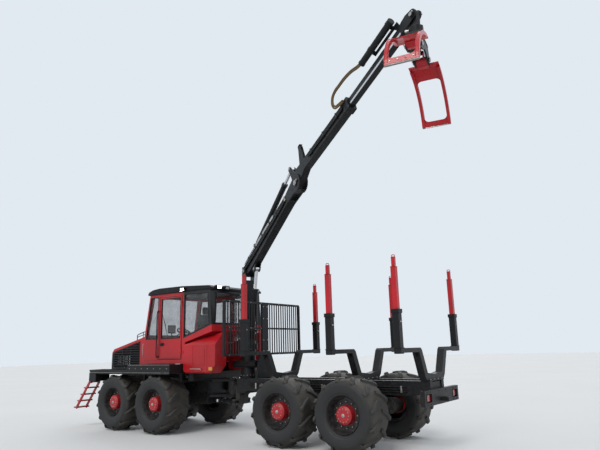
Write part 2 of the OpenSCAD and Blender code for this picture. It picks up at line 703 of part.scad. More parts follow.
module front_chassis_body() {
    z0 = 930;
    both_sides() {
        plate_xz([[steer_x + 460, z0], [cab_foot_x[0], z0 - 40], [chassis_front_x - 300, z0 - 40],
            [chassis_front_x, z0 + 60], [chassis_front_x, chassis_top], [steer_x + 460, chassis_top]],
            rail_y[0], rail_y[1]);
        // Feet of the cab
        for (x = cab_foot_x) block([x, x + 120], rail_y, [chassis_top - 5, floor_z - 40]);
        // Posts and pins of the hood's hinge
        block([hinge_x - 40, hinge_x + 14], rail_y, [chassis_top - 5, hinge_z + 14]);
        rod_y(hinge_x, hinge_z, 26, rail_y[1] - 10, rail_y[1] + 40);
    }
    for (x = [4300, 5700, chassis_front_x - 150])
        block([x, x + 120], [-rail_y[0] - 20, rail_y[0] + 20], [z0 + 30, chassis_top - 30]);
    // Carrier of the side tanks
    block([3620, 3780], [-850, 850], [chassis_top - 5, tank_z0]);
    // Fork around the middle joint, with its pin
    for (z = [roll_z - fork_gap - fit_gap - 60, roll_z + fork_gap + fit_gap])
        translate([0, 0, z]) {
            translate([steer_x, 0, 0]) cylinder(d = 240, h = 60);
            linear_extrude(60) polygon([[steer_x, -120], [3600, -320], [3700, -320], [3700, 320],
                [3600, 320], [steer_x, 120]]);
        }
    block([3680, 3740], [-320, 320], [steer_z - 60, chassis_top]);
    translate([steer_x, 0, roll_z - fork_gap - 84]) cylinder(d = steer_pin_d, h = 2 * fork_gap + 168);
    // Ears for the steering cylinders' rods
    both_sides() for (z = [steer_z - steer_eye_w / 2 - fit_gap - 26, steer_z + steer_eye_w / 2 + fit_gap]) {
        translate([steer_eye[0], steer_eye[1], z]) cylinder(d = 130, h = 26);
        block([steer_eye[0], 3690], [steer_eye[1] - 65, steer_eye[1] + 65], [z, z + 26]);
    }
    block([front_x - 200, front_x + 200], [-400, 400], [axle_z + axle_box, z0 + 20]);
    // Towing lug with its bore
    difference() {
        block([chassis_front_x - 40, chassis_front_x + 110], [-70, 70], [1020, 1090]);
        translate([chassis_front_x + 50, 0, 1010]) cylinder(d = 60, h = 90);
    }
    block([chassis_front_x - 40, chassis_front_x], [-rail_y[0] - 20, rail_y[0] + 20], [980,
        chassis_top - 10]);
}

module front_axle_body() bogie_axle(front_x);

module engine_block_body() {
    block([5640, 6640], [-360, 360], [chassis_top, 1900]);
}

// Cab: outline in X and Z, windows are cut between the posts
cab_rear_x = 2970;
cab_front_x = 5420;
cab_top = 3320;
tub_rear_x = 3880;
cab_outer = [[tub_rear_x, floor_z - 40], [cab_front_x, floor_z - 40], [cab_front_x, 2170],
    [cab_front_x - 200, cab_top], [cab_rear_x + 70, cab_top], [cab_rear_x, 2330], [tub_rear_x, 2100]];
cab_wall = 50;
cab_inner = [[tub_rear_x + cab_wall, floor_z], [cab_front_x - cab_wall, floor_z],
    [cab_front_x - cab_wall, 2165], [cab_front_x - 262, cab_top + 10], [cab_rear_x + 122, cab_top + 10],
    [cab_rear_x + 54, 2370], [tub_rear_x + cab_wall, 2140]];
door_x0 = 3990;
door_x1 = 4830;
door_z0 = 1700;
door_z1 = 3250;
// Openings in the cab's sides: X and Z
quarter_window = [[4880, 2200], [5350, 2200], [5190, 3260], [4880, 3260]];
rear_window = [[3055, 2490], [3925, 2225], [3925, 3260], [3110, 3260]];
door_window = [[door_x0 + 58, 2200], [door_x1 - 58, 2200], [door_x1 - 58, door_z1 - 50], [door_x0 + 58,
    door_z1 - 50]];
// The door's hinges stand out of the cab's side: axis in X and Y, heights of their knuckles
door_axis = [door_x0 + 4, cab_half_w + 16];
door_hinge_z = [1900, 3030];
hinge_d = 24;
hinge_pin_d = 12;
hinge_l = 60;

// Hinge leaves on the cab's side with the pins, one under each of the door's knuckles
module door_hinges() {
    for (z = door_hinge_z) translate([door_axis[0], door_axis[1], z - hinge_l]) {
        cylinder(d = hinge_d, h = hinge_l - fit_gap);
        cylinder(d = hinge_pin_d, h = 2 * hinge_l);
        block([-70, 0], [cab_half_w - door_axis[1] - 5, cab_half_w - door_axis[1] + 10], [0,
            hinge_l - fit_gap]);
    }
}

module cab_frame() {
    color(red) place() door_hinges();
    color(red) place() difference() {
        plate_xz(cab_outer, -cab_half_w, cab_half_w);
        plate_xz(cab_inner, -cab_half_w + cab_wall, cab_half_w - cab_wall);
        // Door opening on the left, fixed windows elsewhere
        block([door_x0, door_x1], [0, cab_half_w + 1], [door_z0, door_z1]);
        plate_xz(door_window, -cab_half_w - 1, 0);
        plate_xz(quarter_window, -cab_half_w - 1, cab_half_w + 1);
        plate_xz(rear_window, -cab_half_w - 1, cab_half_w + 1);
        // Windshield and the window towards the crane
        plate_yz([[-cab_half_w + post + 20, 2230], [cab_half_w - post - 20, 2230],
            [cab_half_w - post - 60, cab_top - 60], [-cab_half_w + post + 60, cab_top - 60]], 5100,
                cab_front_x + 1);
        plate_yz([[-760, 2520], [760, 2520], [720, cab_top - 60], [-720, cab_top - 60]],
            cab_rear_x - 1, cab_rear_x + 200);
    }
}

// Points of an outline drawn in towards its own middle
function shrink(pts, g) = let(c = [for (k = [0, 1]) (min([for (p = pts) p[k]]) + max([for (p = pts)
    p[k]])) / 2])
    [for (p = pts) [p[0] + (p[0] < c[0] ? g : -g), p[1] + (p[1] < c[1] ? g : -g)]];

module cab_glass() {
    color([0.3, 0.35, 0.36]) place() {
        y1 = cab_half_w - 20;
        both_sides() {
            plate_xz(shrink(quarter_window, fit_gap), y1 - glass_t, y1);
            plate_xz(shrink(rear_window, fit_gap), y1 - glass_t, y1);
        }
        mirror([0, 1, 0]) plate_xz(shrink(door_window, fit_gap), y1 - glass_t, y1);
        // Windshield leans back, and the rear pane leans forward
        intersection() {
            plate_yz(shrink([[-cab_half_w + post + 20, 2230], [cab_half_w - post - 20, 2230],
                [cab_half_w - post - 60, cab_top - 60], [-cab_half_w + post + 60, cab_top - 60]], fit_gap),
                5100, cab_front_x);
            plate_xz([[cab_front_x - 30, 2170], [cab_front_x - 30 + glass_t, 2170],
                [cab_front_x - 230 + glass_t, cab_top], [cab_front_x - 230, cab_top]], -cab_half_w,
                    cab_half_w);
        }
        intersection() {
            plate_yz(shrink([[-760, 2520], [760, 2520], [720, cab_top - 60], [-720, cab_top - 60]],
                fit_gap),
                cab_rear_x, cab_rear_x + 200);
            plate_xz([[cab_rear_x + 20, 2420], [cab_rear_x + 20 + glass_t, 2420],
                [cab_rear_x + 90 + glass_t, cab_top], [cab_rear_x + 90, cab_top]], -cab_half_w, cab_half_w);
        }
    }
}

module cab_door() {
    g = 8;
    color(red) place() difference() {
        union() {
            block([door_x0 + g, door_x1 - g], [cab_half_w - cab_wall, cab_half_w], [door_z0 + g,
                door_z1 - g]);
            for (z = door_hinge_z) {
                translate([door_axis[0], door_axis[1], z]) cylinder(d = hinge_d, h = hinge_l);
                block([door_axis[0], door_x0 + 56], [cab_half_w - 5, cab_half_w + 10], [z, z + hinge_l]);
            }
        }
        plate_xz(door_window, 0, cab_half_w + 1);
        for (z = door_hinge_z) translate([door_axis[0], door_axis[1], z - 1])
            cylinder(d = hinge_pin_d + 2 * fit_gap, h = hinge_l + 2);
    }
}

module door_glass() {
    color([0.3, 0.35, 0.36]) place()
        plate_xz(shrink(door_window, fit_gap), cab_half_w - 20 - glass_t, cab_half_w - 20);
}

module cab_roof() {
    x0 = cab_rear_x + 20;
    x1 = cab_front_x - 150;
    y = cab_half_w + 20;
    color(black) place() {
        plate_xz([[x0, cab_top + fit_gap], [x1, cab_top + fit_gap], [x1 + 22, cab_top + 30], [x1 - 10,
            cab_top + 85],
            [x1 - 160, roof_z - 25], [x1 - 420, roof_z], [4000, roof_z - 10], [x0 + 60, cab_top + 95],
            [x0, cab_top + 50]], -y, y);
        // Work lamps under and on the roof's edges
        for (y2 = [-700, -420, 420, 700]) {
            block([x1 - 20, x1 + 70], [y2 - 75, y2 + 75], [cab_top + 10, cab_top + 110]);
            block([x0 - 50, x0 + 30], [y2 - 75, y2 + 75], [cab_top + 10, cab_top + 100]);
        }
        // Work lamp on each side, above the post behind the door
        both_sides() block([door_x0 - 130, door_x0 + 10], [y - 5, y + 60], [cab_top + 12, cab_top + 95]);
    }
}

module cab_interior() {
    color(dark) place() {
        // Seat on its pedestal, which turns to face the crane or the front
        translate([4330, 0, floor_z]) {
            cylinder(d = 300, h = 320);
            block([-260, 260], [-270, 270], [310, 450]);
            plate_xz([[-270, 440], [-150, 440], [-200, 1150], [-300, 1150]], -250, 250);
            both_sides() block([-150, 330], [280, 360], [560, 620]);
            both_sides() block([-60, 60], [240, 300], [400, 570]);
        }
        // Steering column and wheel
        translate([5010, 0, floor_z]) cylinder(d = 180, h = 14);
        bar([5009, 0, floor_z + 8], [4900, 0, 2380], 80);
        translate([4900, 0, 2390]) rotate([0, -30, 0]) {
            rotate_extrude() translate([190, 0]) circle(d = 36, $fn = 8);
            for (a = [0, 120, 240]) rotate([0, 0, a]) block([0, 190], [-18, 18], [-10, 10]);
            translate([0, 0, -30]) cylinder(d = 90, h = 50);
        }
        block([5100, 5360], [-300, 300], [floor_z, 2100]);
    }
}

// Side tank: its top slopes to the front and to the outer side
tank_side_z = 2030;
tank_x = [2800, 3850];

module side_tanks() {
    color(red) place() both_sides() intersection() {
        plate_xz([[tank_x[0] + 170, tank_z0], [tank_x[1] - 60, tank_z0], [tank_x[1], tank_z0 + 70],
            [tank_x[1], tank_side_z + 10], [tank_x[0], 2310], [tank_x[0], 1560]], tank_gap_half,
                tank_half_w);
        plate_yz([[tank_gap_half, tank_z0], [tank_half_w - 30, tank_z0], [tank_half_w, tank_z0 + 30],
            [tank_half_w, tank_side_z], [tank_half_w - 270, 2310], [tank_gap_half, 2310]],
            tank_x[0], tank_x[1]);
    }
}

// Hood: its side opening takes the grille, below a sloping strip of its top
hood_x0 = cab_front_x + 30;
hood_top_z = [2320, 1990];
hood_nose_z = 1900;
hood_wall = 40;
grille_x = [hood_x0 + 310, hood_front_x - 45];
grille_z0 = 1490;
strip = 70;
hood_slope = (hood_top_z[1] - hood_top_z[0]) / (hood_front_x - 80 - hood_x0);
function hood_top(x) = hood_top_z[0] + hood_slope * (x - hood_x0);
grille_side = [[grille_x[0], grille_z0], [grille_x[1], grille_z0], [grille_x[1], hood_nose_z - 20],
    [grille_x[1] - 45, hood_top(grille_x[1] - 45) - strip], [grille_x[0], hood_top(grille_x[0]) - strip]];
front_grille_y = 600;
front_grille_z = [1520, 1850];

module hood() {
    x1 = hood_front_x;
    outer = [[hood_x0, 1450], [x1, 1450], [x1, hood_nose_z], [x1 - 80, hood_top_z[1]], [hood_x0,
        hood_top_z[0]]];
    inner = [[hood_x0 - 1, 1449], [x1 - hood_wall, 1449], [x1 - hood_wall, hood_nose_z - 20],
        [x1 - 100, hood_top_z[1] - 35], [hood_x0 - 1, hood_top_z[0] - 35]];
    color(red) place() difference() {
        plate_xz(outer, -hood_half_w, hood_half_w);
        plate_xz(inner, -hood_half_w + hood_wall, hood_half_w - hood_wall);
        plate_xz(grille_side, -hood_half_w - 1, hood_half_w + 1);
        block([x1 - 60, x1 + 1], [-front_grille_y, front_grille_y], front_grille_z);
    }
    // Hinge ears
    color(red) place() both_sides() difference() {
        block([hinge_x - 22, x1 - 20], [rail_y[1] + fit_gap, rail_y[1] + 30], [hinge_z - 22, 1475]);
        rod_y(hinge_x, hinge_z, 26 + 2 * fit_gap, rail_y[1] - 10, rail_y[1] + 40);
    }
}

grille_pitch = 62;
slot_h = 34;

module hood_grille() {
    color(black) place() {
        both_sides() difference() {
            plate_xz(shrink(grille_side, fit_gap), hood_half_w - 34, hood_half_w - 6);
            // Slots in three columns, cut off below the sloping edge
            intersection() {
                for (i = [0:10], k = [0:2]) {
                    x = grille_x[0] + 45 + k * 365;
                    block([x, x + 335], [hood_half_w - 40, hood_half_w],
                        [grille_z0 + 30 + i * grille_pitch, grille_z0 + 30 + i * grille_pitch + slot_h]);
                }
                plate_xz(shrink(grille_side, 32), hood_half_w - 40, hood_half_w);
            }
        }
        difference() {
            block([hood_front_x - 34, hood_front_x - 6], [-front_grille_y + fit_gap,
                front_grille_y - fit_gap],
                [front_grille_z[0] + fit_gap, front_grille_z[1] - fit_gap]);
            for (i = [0:18]) block([hood_front_x - 50, hood_front_x], [-570 + i * 61, -530 + i * 61],
                [front_grille_z[0] + 40, front_grille_z[1] - 40]);
        }
    }
}

// Step box under the front end of the deck, and the ladder's hinge on it
deck_y = [cab_half_w + fit_gap, stake_y - 10];
box_x0 = deck_front_x - 290;
ladder_top = [deck_front_x + 36, 1150];
ladder_low = [deck_front_x + 580, 470];
ladder_y = [985, 1305];
ladder_pin_d = 30;

module walkways() {
    color(black) place() both_sides() {
        // Mudguard beside the cab and step plate beside the hood
        plate_xz([[cab_foot_x[0], deck_z0], [chassis_front_x, deck_z0], [deck_front_x, deck_z0 + 30],
            [deck_front_x, deck_z0 + 70], [hood_x0 + 50, deck_z0 + 70], [hood_x0 + 10, deck_z0 + 190],
            [cab_foot_x[0], deck_z0 + 190]], deck_y[0], deck_y[1]);
        difference() {
            block([box_x0, deck_front_x], [950, deck_y[1]], [1180, deck_z0 + 1]);
            block([box_x0 + 40, deck_front_x + 1], [990, deck_y[1] - 40], [1220, deck_z0 - 30]);
        }
        // Brackets to the frame's rails
        for (x = [cab_foot_x[0] + 5, cab_foot_x[1], box_x0 + 10]) {
            block([x, x + 80], [rail_y[1], 960], [chassis_top - 40, chassis_top + 10]);
            block([x, x + 80], [910, 960], [chassis_top, deck_z0 + 5]);
        }
    }
    // Hinge ears of the ladder, on the left
    color(black) place() for (y = [ladder_y[0] + 45, ladder_y[1] - 65]) difference() {
        plate_xz([[deck_front_x - 60, 1185], [deck_front_x - 0.5, 1240], [ladder_top[0] + 26,
            ladder_top[1] + 10],
            [ladder_top[0] + 18, ladder_top[1] - 26], [ladder_top[0] - 20, ladder_top[1] - 26]], y, y + 20);
        rod_y(ladder_top[0], ladder_top[1], ladder_pin_d + 2 * fit_gap, y - 1, y + 21);
    }
}

ladder_steps = 4;

// Stringers on a hinge tube, with level treads that reach past them
module ladder() {
    v = ladder_low - ladder_top;
    u = v / norm(v);
    across = 30 * [-u[1], u[0]];
    top = ladder_top - 20 * u;
    color(red) place() {
        for (y = [ladder_y[0], ladder_y[1] - 30])
            plate_xz([top + across, ladder_low + across, ladder_low - across, top - across], y, y + 30);
        rod_y(ladder_top[0], ladder_top[1], ladder_pin_d, ladder_y[0] + 5, ladder_y[1] - 5);
        for (i = [1:ladder_steps]) {
            p = ladder_top + v * (i - 0.15) / ladder_steps;
            block([p[0] - 75, p[0] + 75], [ladder_y[0] - 25, ladder_y[1] + 25], [p[1] - 15, p[1] + 15]);
        }
    }
}

// Grapple cylinder between the two jaws' horns
module at_horn() in_grapple() translate([-jaw_pin_half - horn[0], 0, -grapple_drop + horn[1]]) children();
module grapple_barrel() { color(black) at_horn() barrel(66, 335, 42, 60, 60, 32, 72); }
module grapple_rod() { color(steel) at_horn() rod(42, 88, grapcyl_l, 60, 60); }

// Nodes

module front_chassis() { color(dark) place() front_chassis_body(); }
module front_axle() { color(red) place() front_axle_body(); }
module engine_block() { color(dark) place() engine_block_body(); }
module middle_joint() { color(dark) place() middle_joint_body(); }
module steer_barrel(side) {
    color(black) place() at_steer(side) barrel(steer_cyl_d, 450, 50, 110, 60, 50, 105);
}
module steer_rod(side) {
    color(steel) place() at_steer(side) rod(50, 298, steer_l, 100, 60);
}
module rear_chassis() { color(dark) place() rear_chassis_body(); }
module rear_crossmembers() { color(dark) place() rear_crossmembers_body(); }
module rear_bumper() { color(dark) place() rear_bumper_body(); }
module rear_axle() { color(red) place() bogie_axle(0); }
module gate() { color(black) place() gate_body(); }
module stake_extensions() { color(red) place() both_sides() for (x = bunk_x) stake_extension(x); }
module crane_base() { color(black) place() crane_base_body(); }
module crane_pillar() { color(black) in_crane() crane_pillar_body(); }
module at_lift() in_crane() translate([lift_foot[0], 0, lift_foot[1]]) rotate([0, -lift_a, 0]) children();
module lift_barrel() { color(black) at_lift() barrel(lift_d, lift_barrel_l, 80, 120, 90, 56, 110); }
module lift_rod() { color(steel) at_lift() rod(80, 540, lift_l, 120, 90); }
module main_boom() { color(black) in_boom() main_boom_body(); }
module at_jibcyl() in_boom() translate([jibcyl_foot[0], 0, jibcyl_foot[1]]) rotate([0, -jibcyl_a, 0])
    children();
module jib_barrel() { color(black) at_jibcyl() barrel(jibcyl_d, jibcyl_barrel_l, 70, 110, 80, 50, 115); }
module jib_rod() { color(steel) at_jibcyl() rod(70, 1000, jibcyl_l, 100, 80); }
module jib() { color(black) in_jib() jib_body(); }
module extension() { color(black) in_jib() extension_body(); }
module tip_link() { color(black) in_tip() tip_link_body(); }
module rotator() { color(black) in_grapple() rotator_body(); }
module grapple_frame() { color(black) in_grapple() grapple_frame_body(); }
module jaw_a() { color(red) at_jaw(1) jaw_body(); }
module jaw_b() { color(red) at_jaw(-1) jaw_body(); }

tyre(front_x + bogie_half, 1);  // tyre_front_left_1
tyre(front_x - bogie_half, 1);  // tyre_front_left_2
tyre(front_x + bogie_half, -1);  // tyre_front_right_1
tyre(front_x - bogie_half, -1);  // tyre_front_right_2
tyre(bogie_half, 1);  // tyre_rear_left_1
tyre(-bogie_half, 1);  // tyre_rear_left_2
tyre(bogie_half, -1);  // tyre_rear_right_1
tyre(-bogie_half, -1);  // tyre_rear_right_2
wheel(front_x + bogie_half, 1);  // wheel_front_left_1
wheel(front_x - bogie_half, 1);  // wheel_front_left_2
wheel(front_x + bogie_half, -1);  // wheel_front_right_1
wheel(front_x - bogie_half, -1);  // wheel_front_right_2
wheel(bogie_half, 1);  // wheel_rear_left_1
wheel(-bogie_half, 1);  // wheel_rear_left_2
wheel(bogie_half, -1);  // wheel_rear_right_1
wheel(-bogie_half, -1);  // wheel_rear_right_2
front_chassis();
front_axle();
engine_block();
hood();
hood_grille();
cab_frame();
cab_roof();
cab_glass();
cab_door();
door_glass();
cab_interior();
side_tanks();
walkways();
ladder();
middle_joint();
steer_barrel(1);  // steer_barrel_left
steer_barrel(-1);  // steer_barrel_right
steer_rod(1);  // steer_rod_left
steer_rod(-1);  // steer_rod_right
rear_chassis();
rear_crossmembers();
rear_bumper();
rear_axle();
gate();
bunk(bunk_x[0]);  // bunk_rear
bunk(bunk_x[1]);  // bunk_middle
bunk(bunk_x[2]);  // bunk_front
stake_extensions();
crane_base();
crane_pillar();
lift_barrel();
lift_rod();
main_boom();
jib_barrel();
jib_rod();
jib();
extension();
tip_link();
rotator();
grapple_frame();
jaw_a();
jaw_b();
grapple_barrel();
grapple_rod();
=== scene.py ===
import math
import random

import bmesh
import bpy
from mathutils import Matrix, Vector


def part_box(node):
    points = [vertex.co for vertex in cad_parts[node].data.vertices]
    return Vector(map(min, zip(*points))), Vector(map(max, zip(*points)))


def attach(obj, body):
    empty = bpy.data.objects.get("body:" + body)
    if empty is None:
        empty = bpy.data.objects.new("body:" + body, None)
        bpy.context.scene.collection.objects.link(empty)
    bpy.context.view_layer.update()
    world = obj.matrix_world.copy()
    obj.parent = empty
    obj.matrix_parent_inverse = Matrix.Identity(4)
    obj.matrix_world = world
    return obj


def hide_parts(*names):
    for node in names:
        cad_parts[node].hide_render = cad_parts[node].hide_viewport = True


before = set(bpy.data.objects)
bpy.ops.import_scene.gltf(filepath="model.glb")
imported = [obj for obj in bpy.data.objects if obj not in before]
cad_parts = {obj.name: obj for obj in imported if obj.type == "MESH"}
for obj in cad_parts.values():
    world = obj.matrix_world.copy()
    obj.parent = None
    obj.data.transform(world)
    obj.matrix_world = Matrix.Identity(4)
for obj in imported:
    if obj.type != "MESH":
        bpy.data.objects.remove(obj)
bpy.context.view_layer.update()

# Lengths are millimetres in the machine's own frame, as in the part's source: X forward from
# the middle of the rear bogies, Y to the machine's left, Z up from the ground. The gate gives
# the step from there to the row frame, in metres.
GATE_X = 2120
gate_lo, gate_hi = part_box("gate")
SHIFT = Vector((GATE_X / 1000 - (gate_lo.x + gate_hi.x) / 2, -(gate_lo.y + gate_hi.y) / 2, 0))

TYRE_D, TREAD_HALF, LUG_H, LUG_COUNT, LUG_W = 1360, 349, 44, 12, 74
WHEEL_Y, BOGIE_HALF, BOGIE_GAP = 1000, 765, 5290
STEER_X, STAKE_Y = 3100, 1350
BUNK_X = (-1990, -590, 1560)
SIDES, UP, DOWN = (-1, 1), (0, 0, 1), (0, 0, -1)
FRONT, REAR, PILLAR = "front_frame", "rear_frame", "crane_pillar"
CRANE_X, CRANE_TURN, BOOM_PIVOT_Z = 2620, 28, 3780
BOOM_L, BOOM_REST, JIB_REST, JIB_L, JIB_REACH, JIB_UP = 3310, 25.5, -8, 2240, 4210, 180
GRAPPLE_DROP, GRAPPLE_TURN, JAW_PIN_HALF = 620, 101, 250
axle_lo, axle_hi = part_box("wheel_rear_left_1")
axle_z = (axle_lo.z + axle_hi.z) / 2 * 1000


def turn(axis, degrees):
    return Matrix.Rotation(math.radians(degrees), 4, axis)


def move(x, y, z):
    return Matrix.Translation((x, y, z))


def direction(azimuth, height):
    """Unit vector at an azimuth and at a height over the horizon, in degrees."""
    a, h = math.radians(azimuth), math.radians(height)
    return Vector((math.cos(a) * math.cos(h), math.sin(a) * math.cos(h), math.sin(h)))


def spokes(count, first=0):
    """Cosine and sine of even angles all the way round, from a first one in degrees."""
    angles = [2 * math.pi * k / count + math.radians(first) for k in range(count)]
    return [(math.cos(a), math.sin(a)) for a in angles]


def on_circle(centre, radius, degrees):
    a = math.radians(degrees)
    return centre[0] + radius * math.cos(a), centre[1] + radius * math.sin(a)


def placed(name, data):
    """New object in the scene that holds the data."""
    made = bpy.data.objects.new(name, data)
    bpy.context.scene.collection.objects.link(made)
    return made


MACHINE = Matrix()
IN_CRANE = move(CRANE_X, 0, 0) @ turn("Z", 180 - CRANE_TURN)
IN_BOOM = IN_CRANE @ move(0, 0, BOOM_PIVOT_Z) @ turn("Y", -BOOM_REST)
IN_JIB = IN_BOOM @ move(BOOM_L, 0, 0) @ turn("Y", -JIB_REST)
IN_TIP = IN_JIB @ move(JIB_REACH, 0, JIB_UP) @ turn("Y", BOOM_REST + JIB_REST)
IN_GRAPPLE = IN_TIP @ turn("Z", GRAPPLE_TURN - 180 + CRANE_TURN)


# Materials

def feed(tree, socket, value):
    """Link a socket to another node's output, or set its own value."""
    if isinstance(value, bpy.types.NodeSocket):
        tree.links.new(value, socket)
    else:
        socket.default_value = value


def add_node(tree, kind, inputs=None, **attributes):
    """New shader node in a tree, with its inputs fed and its attributes set."""
    made = tree.nodes.new("ShaderNode" + kind)
    for key, value in attributes.items():
        setattr(made, key, value)
    for key, value in (inputs or {}).items():
        feed(tree, made.inputs[key], value)
    return made


def shade(colour, share):
    return tuple(min(1, c * share) for c in colour)


def rgba(value):
    return (*value, 1) if isinstance(value, tuple) else value


class Look:
    """One node material: texture nodes are added with the calls, and feed one shader."""

    def __init__(self, name):
        self.material = bpy.data.materials.new(name)
        self.material.use_nodes = True
        self.tree = self.material.node_tree
        self.shader = self.tree.nodes["Principled BSDF"]
        self.place = self.add("TexCoord").outputs["Object"]

    def add(self, kind, inputs=None, **attributes):
        return add_node(self.tree, kind, inputs, **attributes)

    def noise(self, scale, detail=5, rough=0.55, place=None):
        made = self.add("TexNoise", {
            "Vector": place or self.place, "Scale": scale, "Detail": detail, "Roughness": rough})
        return made.outputs["Fac"]

    def wave(self, scale, axis, distortion=0):
        inputs = {"Vector": self.place, "Scale": scale, "Distortion": distortion}
        return self.add("TexWave", inputs, bands_direction=axis).outputs["Fac"]

    def spread(self, value, low, high, to_low=0.0, to_high=1.0):
        made = self.add("MapRange", {
            "Value": value, "From Min": low, "From Max": high, "To Min": to_low, "To Max": to_high})
        return made.outputs["Result"]

    def step(self, value, level, soft=0.002):
        """0 under the level and 1 over it, or the other way round where soft is negative."""
        return self.spread(value, level - soft, level + soft)

    def calc(self, operation, first, *others):
        """The operation on all the values, from left to right."""
        for other in others:
            first = self.add("Math", {0: first, 1: other}, operation=operation).outputs[0]
        return first

    def times(self, *values):
        return self.calc("MULTIPLY", *values)

    def blend(self, share, a, b):
        inputs = {"Factor": share, 6: rgba(a), 7: rgba(b)}
        return self.add("Mix", inputs, data_type="RGBA").outputs[2]

    def stretched(self, x, y, z):
        return self.add("Mapping", {"Vector": self.place, "Scale": (x, y, z)}).outputs[0]

    def edge(self, radius):
        """Rounded normal, and how much of an edge this point is, from 0 to 1."""
        bevel = self.add("Bevel", {"Radius": radius}, samples=4).outputs[0]
        flat = self.add("NewGeometry").outputs["Normal"]
        dot = self.add("VectorMath", {0: bevel, 1: flat}, operation="DOT_PRODUCT")
        return bevel, self.spread(dot.outputs["Value"], 0.995, 0.90)

    def relief(self, height, strength, distance, normal=None):
        inputs = {"Height": height, "Strength": strength, "Distance": distance}
        if normal is not None:
            inputs["Normal"] = normal
        self.set("Normal", self.add("Bump", inputs).outputs[0])

    def from_axle(self):
        """Distance from a wheel's axle, which is its box's middle, as a share of its radius."""
        box = self.add("TexCoord").outputs["Generated"]
        centred = self.add("VectorMath", {0: box, 1: (-0.5, -0.5, -0.5)}, operation="ADD").outputs[0]
        flat = self.add("VectorMath", {0: centred, 1: (2, 0, 2)}, operation="MULTIPLY").outputs[0]
        return self.add("VectorMath", {0: flat}, operation="LENGTH").outputs["Value"]

    def colour(self, share, a, b):
        self.set("Base Color", self.blend(share, a, b))

    def rough(self, value, *levels):
        self.set("Roughness", self.spread(value, *levels))

    def set(self, name, value):
        feed(self.tree, self.shader.inputs[name], rgba(value))


ROAD_DUST = (0.16, 0.14, 0.115)


def paint(name, colour, worn, rough=0.3, coat=0.22, dust=0.22, chips=0.5, shine=0.3, black_where=None):
    """Machine paint: mottled, dusty low down, chipped along its edges, with a fine orange peel."""
    look = Look(name)
    patches = look.noise(0.9, 4)
    specks = look.noise(19, 8, 0.62)
    tint = look.blend(look.spread(patches, 0.35, 0.65), shade(colour, 0.82), shade(colour, 1.14))
    split = look.add("SeparateXYZ", {0: look.place}).outputs
    height = split[2]
    if black_where:
        tint = look.blend(black_where(look, split[0], height), tint, (0.0065, 0.007, 0.009))
    low = look.spread(height, 2.1, 0.35, 0.04, 1.0)
    film = look.spread(specks, 0.38, 0.72)
    dusty = look.times(low, film, dust)
    streaks = look.noise(7, 6, 0.6, look.stretched(1, 1, 0.12))
    run = look.times(look.spread(streaks, 0.56, 0.80), 0.16)
    tint = look.blend(look.calc("MAXIMUM", dusty, run), tint, ROAD_DUST)
    bevel, edge = look.edge(0.007)
    chipped = look.times(edge, look.spread(look.noise(38, 4), 0.5, 0.62), chips)
    look.colour(chipped, tint, worn)
    gloss = look.spread(specks, 0.25, 0.75, rough * 0.8, rough * 1.35)
    look.set("Roughness", look.calc("ADD", gloss, look.times(dusty, 0.45)))
    look.set("Coat Weight", coat)
    look.set("Coat Roughness", 0.12)
    look.set("Specular IOR Level", shine)
    look.relief(look.noise(260, 2), 0.06, 0.002, bevel)
    return look.material


def rubber(name):
    """Tyre rubber by distance from the axle: dirt in the grooves and scuffed lug tops."""
    look = Look(name)
    radius = look.from_axle()
    mottle = look.noise(6, 8, 0.65)
    grain = look.noise(46, 6, 0.6)
    base = look.blend(look.spread(mottle, 0.35, 0.7), (0.008, 0.0083, 0.0095), (0.022, 0.0215, 0.021))
    groove = look.times(look.spread(radius, 0.86, 0.93), look.spread(radius, 0.985, 0.94))
    dirt = look.times(groove, look.spread(mottle, 0.3, 0.62, 0.25, 0.85))
    side = look.times(look.spread(radius, 0.55, 0.85), look.spread(grain, 0.5, 0.8, 0.0, 0.14))
    tint = look.blend(look.calc("MAXIMUM", dirt, side), base, (0.058, 0.050, 0.038))
    top = look.times(look.spread(radius, 0.975, 0.99), look.spread(grain, 0.35, 0.65, 0.1, 0.55))
    look.colour(top, tint, (0.046, 0.043, 0.040))
    look.rough(mottle, 0.3, 0.7, 0.5, 0.82)
    height = look.calc("ADD", look.noise(160, 5), look.times(grain, 2.0))
    look.relief(height, 0.35, 0.003, look.edge(0.006)[0])
    return look.material


def wheel_paint(name):
    """Black rim with a worn edge around a red hub, by distance from the axle."""
    look = Look(name)
    radius = look.from_axle()
    specks = look.noise(15, 8, 0.65)
    hub = look.spread(radius, 0.535, 0.53)
    red = look.blend(look.spread(specks, 0.3, 0.7), (0.30, 0.008, 0.014), (0.46, 0.014, 0.02))
    black = look.blend(look.spread(specks, 0.35, 0.7), (0.012, 0.012, 0.013), (0.035, 0.033, 0.031))
    tint = look.blend(hub, black, red)
    bevel, edge = look.edge(0.008)
    worn = look.times(edge, look.spread(look.noise(30, 5), 0.42, 0.62, 0, 0.6))
    tint = look.blend(worn, tint, (0.16, 0.15, 0.14))
    dusty = look.spread(specks, 0.5, 0.85, 0.0, 0.4)
    look.colour(dusty, tint, ROAD_DUST)
    look.rough(specks, 0.3, 0.7, 0.34, 0.6)
    look.relief(look.noise(210, 3), 0.08, 0.002, bevel)
    return look.material


